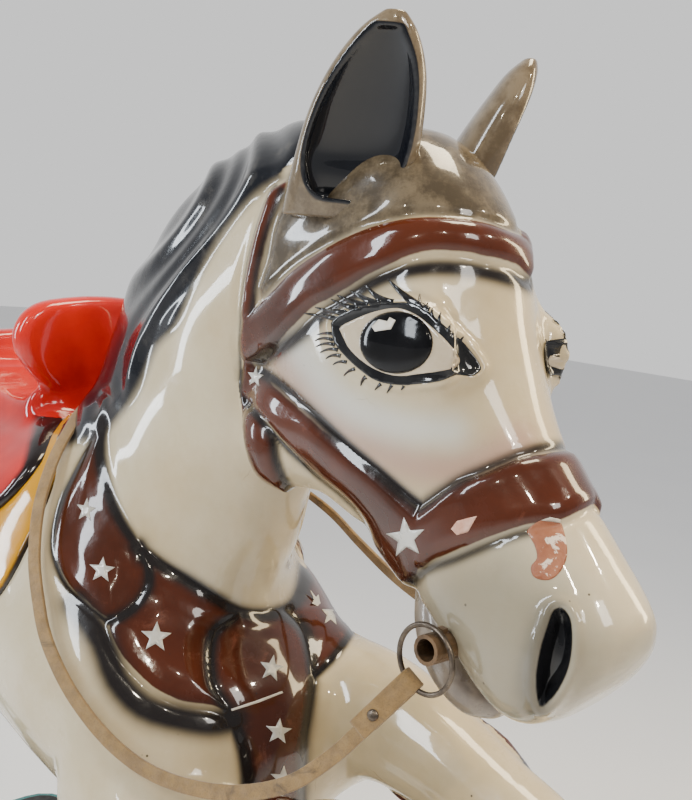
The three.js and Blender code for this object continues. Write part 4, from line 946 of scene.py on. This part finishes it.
def plane2(grid, ax0, ax1, pts):
    A = grid.axes()
    a, b = np.meshgrid(A[ax0], A[ax1], indexing="ij")
    d = -poly_sd(np.stack([a.ravel(), b.ravel()], -1).astype(float), round_poly(pts, 4)).reshape(a.shape).astype(np.float32)
    return np.expand_dims(d, 3 - ax0 - ax1)


SKIRT = [(-52,1190),(-60,1098),(-104,1076),(-142,1048),(-140,1012),(-104,978),(-40,958),(60,950),(140,966),(186,1010),(200,1060),(200,1190)]
BLANKET = [(-80,1190),(-104,1098),(-140,1078),(-176,1040),(-194,985),(-186,930),(-150,893),(-90,872),(30,866),(140,870),(205,893),(236,950),(240,1020),(232,1190)]
POMMEL = [(46,1078),(60,1104),(92,1128),(114,1156),(118,1176),(110,1198),(92,1213),(60,1221),(0,1226),(-60,1221),(-92,1213),(-110,1198),(-118,1176),(-114,1156),(-92,1128),(-60,1104),(-46,1078),(0,1060)]
CANTLE = [(-120,1040),(-132,1080),(-120,1120),(-84,1148),(-30,1160),(30,1160),(84,1148),(120,1120),(132,1080),(120,1040)]
SEAT = [(-50,1060),(-50,1112),(-24,1102),(20,1096),(80,1101),(130,1116),(165,1140),(165,1060)]
skirt = smax(st - 13.5, plane2(SG, 1, 2, SKIRT), 8)
skirt = np.maximum(skirt, -(st + 14))
pom = smax(plane2(SG, 0, 2, POMMEL), np.abs(sy_ + 44) - 15.5, 16)
can = smax(plane2(SG, 0, 2, CANTLE), np.abs(sy_ - 167) - 17, 14)
seat = smax(plane2(SG, 1, 2, SEAT), np.abs(sx_) - 96, 16)
saddle = smin(smin(skirt, pom, 16), smin(seat, can, 22), 16)
for s in (-1, 1):
    stud = np.maximum(np.sqrt((sy_ - 15) ** 2 + (sz_ - 985) ** 2) - 10 + 0 * sx_, np.maximum(150 - s * sx_, s * sx_ - 206.8))
    saddle = np.minimum(saddle, stud)
SK = round_poly(SKIRT, 4)
BL = round_poly(BLANKET, 4)


def edged(name, a, b, edge_col, w0, w1):
    """Gloss enamel, airbrushed dark towards the outline."""
    m, nt, bs = new_mat(name)
    co = coords(nt)
    base = mix(nt, mapr(nt, noise(nt, 7, 6, 0.6, co), 0.35, 0.65), a, b)
    base = mix(nt, mapr(nt, noise(nt, 40, 9, 0.72, co), 0.64, 0.74, 0, .5), base, tuple(x * 0.5 for x in a))
    base = mix(nt, mapr(nt, attr(nt, "a_edge"), w1, w0), base, edge_col)
    nt.links.new(base, bs.inputs["Base Color"])
    nt.links.new(mapr(nt, noise(nt, 15, 6, 0.6, co), 0.3, 0.7, 0.1, 0.28), bs.inputs["Roughness"])
    bs.inputs["Coat Weight"].default_value = 0.75
    bs.inputs["Specular IOR Level"].default_value = 0.12
    bs.inputs["Coat Roughness"].default_value = 0.05
    bump(nt, bs, noise(nt, 34, 4, 0.5, co), 0.25, 0.002)
    return m


form("saddle_moulding", SG, blur(saddle, 1), edged("saddle_enamel", (0.62, 0.018, 0.010), (0.42, 0.010, 0.008), (0.012, 0.008, 0.008), 6, 17), ["saddle"],
     attrs=[("a_edge", lambda p: np.where(p[:, 2] > 1085, 60, poly_sd(p[:, 1:], SK)))])
blk = np.maximum(smax(st - 5.0, plane2(SG, 1, 2, BLANKET), 4), -(st + 12))
form("saddle_blanket_moulding", SG, blk, edged("blanket_enamel", (0.62, 0.29, 0.002), (0.52, 0.23, 0.002), (0.02, 0.014, 0.008), 1, 6), ["saddle_blanket"],
     attrs=[("a_edge", lambda p: poly_sd(p[:, 1:], BL))])

# ---------------------------------------------------------------- bit, rings and the folded rein ends
RUST = paint("bit_rusted_steel", (0.19, 0.115, 0.06), (0.10, 0.065, 0.04), 90, (0.35, 0.65), metal=0.65, bumps=(0.5, 600), wear=(0.30, 0.15, 0.06), wear_scale=120)
RING_STEEL = paint("ring_steel", (0.16, 0.13, 0.10), (0.09, 0.07, 0.055), 120, (0.25, 0.5), metal=0.9, bumps=(0.3, 800), wear=(0.20, 0.10, 0.05), wear_scale=160)


def torus(name, c, R, r, mat, body_name, nodes, nu=96, nv=20):
    U_ = np.linspace(0, 2 * math.pi, nu, endpoint=False); V_ = np.linspace(0, 2 * math.pi, nv, endpoint=False)
    A, B = np.meshgrid(U_, V_, indexing="ij")
    PP = np.stack([c[0] + r * np.sin(B), c[1] + (R + r * np.cos(B)) * np.cos(A), c[2] + (R + r * np.cos(B)) * np.sin(A)], -1).reshape(-1, 3)
    idx = np.arange(nu * nv).reshape(nu, nv)
    F_ = np.stack([idx, np.roll(idx, -1, 0), np.roll(np.roll(idx, -1, 0), -1, 1), np.roll(idx, -1, 1)], -1).reshape(-1, 4)
    ob = mesh_object(name, PP, F_)
    bm = bmesh.new(); bm.from_mesh(ob.data); bmesh.ops.recalc_face_normals(bm, faces=bm.faces); bm.to_mesh(ob.data); bm.free()
    ob.data.materials.append(mat)
    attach(ob, body_name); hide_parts(*nodes)
    return ob


FOLD_N = unit(np.array([-.84, -.44, .30]))


def folded_end(name, side, at, away):
    """The strap end folded round the ring wire, laid back along the strap and riveted."""
    nrm = FOLD_N * np.array([side, 1, 1]) if side < 0 else FOLD_N * np.array([-1, 1, 1])
    nrm = np.array([abs(nrm[0]) * side, nrm[1], nrm[2]])
    t = unit(away - (away @ nrm) * nrm)
    pts = []
    for d, o in ((54, 2.6), (44, 3.6), (32, 4.4), (18, 5.0), (6, 5.4), (-2, 4.6), (-6.2, 2.2), (-7.4, 0), (-6.2, -2.2), (-2, -4.6), (6, -4.8), (16, -4.2), (30, -3.4), (44, -2.8)):
        pts.append(at + t * d + nrm * o)
    path = spline(np.array(pts), 4)
    T = unit(np.gradient(path, axis=0)); W = np.cross(t, nrm)
    ob = strap(name, path, np.cross(T, W) * -1.0, 18.0, 3.0, 1.0)
    ob.data.materials.append(REIN_MAT)
    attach(ob, "carriage")
    rv = at + t * 36 + nrm * 6.0
    a = np.linspace(0, 2 * math.pi, 24, endpoint=False)
    V = []
    for rr, hh in ((4.6, -1.2), (4.6, 0.2), (3.8, 1.1), (2.2, 1.7), (0.8, 1.9)):
        V.append(rv + rr * (np.cos(a)[:, None] * t + np.sin(a)[:, None] * W) + nrm * hh)
    V = np.concatenate(V)
    Fc = [(i * 24 + j, i * 24 + (j + 1) % 24, (i + 1) * 24 + (j + 1) % 24, (i + 1) * 24 + j) for i in range(4) for j in range(24)] + [tuple(range(24))[::-1], tuple(range(96, 120))]
    o2 = mesh_object(name + "_rivet", V, Fc)
    bm = bmesh.new(); bm.from_mesh(o2.data); bmesh.ops.recalc_face_normals(bm, faces=bm.faces); bm.to_mesh(o2.data); bm.free()
    o2.data.materials.append(RING_STEEL)
    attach(o2, "carriage")


folded_end("rein_fold_right", -1, np.array([-74.5, -646.5, 979.5]), unit(np.array([-85., -621, 940]) - np.array([-74.5, -646.5, 979.5])))
folded_end("rein_fold_left", 1, np.array([74.5, -646.5, 979.5]), unit(np.array([86., -618, 967]) - np.array([74.5, -646.5, 979.5])))
torus("rein_ring_right_wire", (-73, -659.5, 1003.2), 26.8, 2.2, RING_STEEL, "ring_right", ["rein_ring_right"])
torus("rein_ring_left_wire", (73, -659.5, 1003.2), 26.8, 2.2, RING_STEEL, "ring_left", ["rein_ring_left"])


# ---------------------------------------------------------------- materials of the CAD pieces that keep their shape
FIN = {
    "teal_paint": paint("teal_enamel", (0.012, 0.17, 0.17), (0.008, 0.12, 0.125), 12, (0.22, 0.4), coat=0.5, wear=(0.10, 0.075, 0.05), wear_at=(.66, .7), wear_scale=22),
    "red_paint": paint("red_enamel", (0.42, 0.012, 0.010), (0.30, 0.009, 0.008), 10, (0.2, 0.36), coat=0.6, wear=(0.09, 0.04, 0.03), wear_at=(.67, .71), wear_scale=24),
    "machine_steel": paint("machined_steel", (0.34, 0.33, 0.31), (0.22, 0.21, 0.20), 60, (0.28, 0.5), metal=0.95, bumps=(0.25, 900), wear=(0.13, 0.08, 0.05), wear_at=(.64, .72), wear_scale=40, stretch=(1, 6, 1)),
    "grey_paint": paint("grey_hammertone", (0.20, 0.21, 0.215), (0.15, 0.155, 0.16), 40, (0.3, 0.5), coat=0.2, bumps=(0.5, 260), wear=(0.08, 0.07, 0.06), wear_at=(.66, .72)),
    "navy_paint": paint("navy_powder_coat", (0.012, 0.025, 0.085), (0.009, 0.018, 0.06), 14, (0.28, 0.45), coat=0.3, bumps=(0.3, 500), wear=(0.10, 0.09, 0.08), wear_at=(.68, .72)),
    "chain_steel": paint("oiled_chain_steel", (0.10, 0.095, 0.09), (0.05, 0.045, 0.04), 120, (0.25, 0.5), metal=0.9, bumps=(0.4, 700), wear=(0.12, 0.07, 0.04), wear_scale=90),
    "rubber_black": paint("rubber", (0.018, 0.018, 0.019), (0.03, 0.03, 0.031), 30, (0.6, 0.85), bumps=(0.5, 800), wear=(0.07, 0.065, 0.06), wear_at=(.62, .75)),
    "chrome_trim": paint("chrome", (0.62, 0.62, 0.62), (0.52, 0.52, 0.53), 20, (0.08, 0.2), metal=1.0, bumps=(0.06, 500), wear=(0.25, 0.2, 0.16), wear_at=(.7, .74), wear_scale=60),
    "brass_lock": paint("brass", (0.56, 0.38, 0.13), (0.42, 0.27, 0.09), 60, (0.2, 0.4), metal=1.0, bumps=(0.2, 700)),
    "button_red": paint("button_acrylic", (0.55, 0.012, 0.01), (0.42, 0.01, 0.008), 40, (0.12, 0.22), coat=0.8, bumps=(0.05, 300)),
    "strap_leather": leather("stirrup_leather", (0.10, 0.045, 0.022), (0.065, 0.03, 0.016), (0.03, 0.018, 0.012)),
    "bit_steel": RUST,
}
rec = frame["record"]


def slots_of():
    out = {}
    beh = rec.get("behaviour") or {}
    for src in (rec.get("materials"), (rec.get("appearance") or {}).get("materials") if isinstance(rec.get("appearance"), dict) else None, beh.get("materials")):
        if isinstance(src, dict):
            for k, v in src.items():
                if isinstance(v, dict):
                    for n in v.get("nodes") or []:
                        out[n] = k
        elif isinstance(src, list):
            for v in src:
                if isinstance(v, dict):
                    for n in v.get("nodes") or []:
                        out[n] = v.get("slot") or v.get("name")
    return out


SLOTS = slots_of()
GUESS = [("base_skirt", "teal_paint"), ("base_kick_band", "red_paint"), ("base_pan", "grey_paint"), ("deck_plate", "teal_paint"), ("deck_mat", "rubber_black"), ("foot", "rubber_black"),
          ("control_box", "grey_paint"), ("cord_gland", "rubber_black"), ("bearing_stand", "grey_paint"), ("gearbox", "grey_paint"), ("drive_motor", "navy_paint"), ("drive_", "chain_steel"),
          ("sync_", "chain_steel"), ("output", "chain_steel"), ("coin_box", "teal_paint"), ("start_button_bezel", "chrome_trim"), ("crank", "machine_steel"),
          ("carriage_beam", "navy_paint"), ("carriage_post", "chrome_trim"), ("mount_cradle", "teal_paint"), ("belly_block", "rubber_black"), ("bit_tube", "bit_steel"),
          ("stirrup_leather", "strap_leather"), ("stirrup_iron", "teal_paint"), ("service_hatch", "teal_paint"), ("coin_door", "machine_steel"), ("coin_entry", "chrome_trim"),
          ("coin_return_cup", "rubber_black"), ("coin_return_button", "button_red"), ("door_lock", "brass_lock"), ("coin_return_flap", "chrome_trim"), ("start_button", "button_red"),
          ("cash_drawer", "machine_steel")]
hidden = {"horse_shell_right", "horse_shell_left", "foreleg_left", "foreleg_right", "hindleg_left", "hindleg_right", "lower_jaw", "tail", "saddle", "saddle_blanket", "rein_strap", "rein_ring_right", "rein_ring_left"}
for name, o in frame["nodes"].items():
    if name in hidden:
        continue
    key = SLOTS.get(name)
    if key not in FIN:
        key = next((k for p, k in GUESS if name.startswith(p)), "grey_paint")
    o.data.materials.clear()
    o.data.materials.append(FIN[key])
    bv = o.modifiers.new("edge", "BEVEL"); bv.width = 0.0008; bv.segments = 2; bv.limit_method = "ANGLE"; bv.angle_limit = math.radians(40)
print("slots", len(SLOTS))

# ---------------------------------------------------------------- floor and light
fm_, fnt, fbs = new_mat("floor_pale")
fnt.links.new(mix(fnt, mapr(fnt, noise(fnt, 2.0, 3), 0.3, 0.7), (0.90, 0.90, 0.905), (0.93, 0.93, 0.93)), fbs.inputs["Base Color"])
fbs.inputs["Roughness"].default_value = 0.75
fbs.inputs["Emission Color"].default_value = (1, 1, 1, 1)
fbs.inputs["Emission Strength"].default_value = 0.14
bpy.ops.mesh.primitive_plane_add(size=30, location=(0, 0, CAD_BOX[0][2]))
floor = bpy.context.object; floor.name = "floor"; floor.data.materials.append(fm_)
world = bpy.data.worlds.new("studio"); bpy.context.scene.world = world
world.use_nodes = True
bg = world.node_tree.nodes.get("Background")
wt = world.node_tree
wc = wt.nodes.new("ShaderNodeTexCoord"); ws = wt.nodes.new("ShaderNodeSeparateXYZ"); wt.links.new(wc.outputs["Generated"], ws.inputs[0])
wr = wt.nodes.new("ShaderNodeValToRGB"); wt.links.new(ws.outputs[2], wr.inputs[0])
wd = wt.nodes.new("ShaderNodeVectorMath"); wd.operation = "DOT_PRODUCT"; wd.inputs[1].default_value = (0.70, 0.70, 0.12)
wt.links.new(wc.outputs["Generated"], wd.inputs[0]); wt.links.new(wd.outputs["Value"], wr.inputs[0])
wr.color_ramp.elements[0].position = 0.0; wr.color_ramp.elements[0].color = (0.26, 0.265, 0.28, 1)
wr.color_ramp.elements[1].position = 0.75; wr.color_ramp.elements[1].color = (0.98, 0.98, 0.98, 1)
wt.links.new(wr.outputs[0], bg.inputs[0]); bg.inputs[1].default_value = 0.95


def area(name, loc, target, size, power, color=(1, 1, 1), shape="RECTANGLE", size_y=None):
    d = bpy.data.lights.new(name, "AREA"); d.energy = power; d.color = color; d.shape = shape; d.size = size; d.size_y = size_y or size
    o = bpy.data.objects.new(name, d); bpy.context.collection.objects.link(o)
    o.location = loc
    o.visible_camera = False
    o.rotation_euler = (Vector(target) - Vector(loc)).to_track_quat("-Z", "Y").to_euler()
    return o


area("key_strip", (-2.4, 0.1, 2.5), (0, -.3, 1.1), 0.35, 60, (0.88, 0.94, 1.0), size_y=1.8)
area("front_soft", (-0.2, -3.3, 3.2), (0, -.3, 1.0), 0.9, 42, (1.0, 0.95, 0.88))
area("top_warm", (0.5, -0.6, 3.2), (0, -.4, 1.0), 0.7, 46, (1.0, 0.84, 0.58))
area("rim_warm", (1.7, -1.4, 1.9), (0, -.5, 1.1), 0.3, 26, (1.0, 0.80, 0.48), size_y=1.4)
area("neck_strip", (-1.9, 1.9, 1.55), (-.1, -.2, 1.15), 0.28, 34, (0.86, 0.93, 1.0), size_y=1.5)
for k, (lx, ly, lz) in enumerate([(-1.3, -2.0, 3.0), (-0.3, -2.4, 2.8), (-2.0, -1.3, 2.6), (0.9, -1.9, 2.7)]):
    area("lamp_%d" % k, (lx, ly, lz), (0, -.5, 1.1), 0.09, 8, (1.0, 0.90, 0.72), shape="DISK")
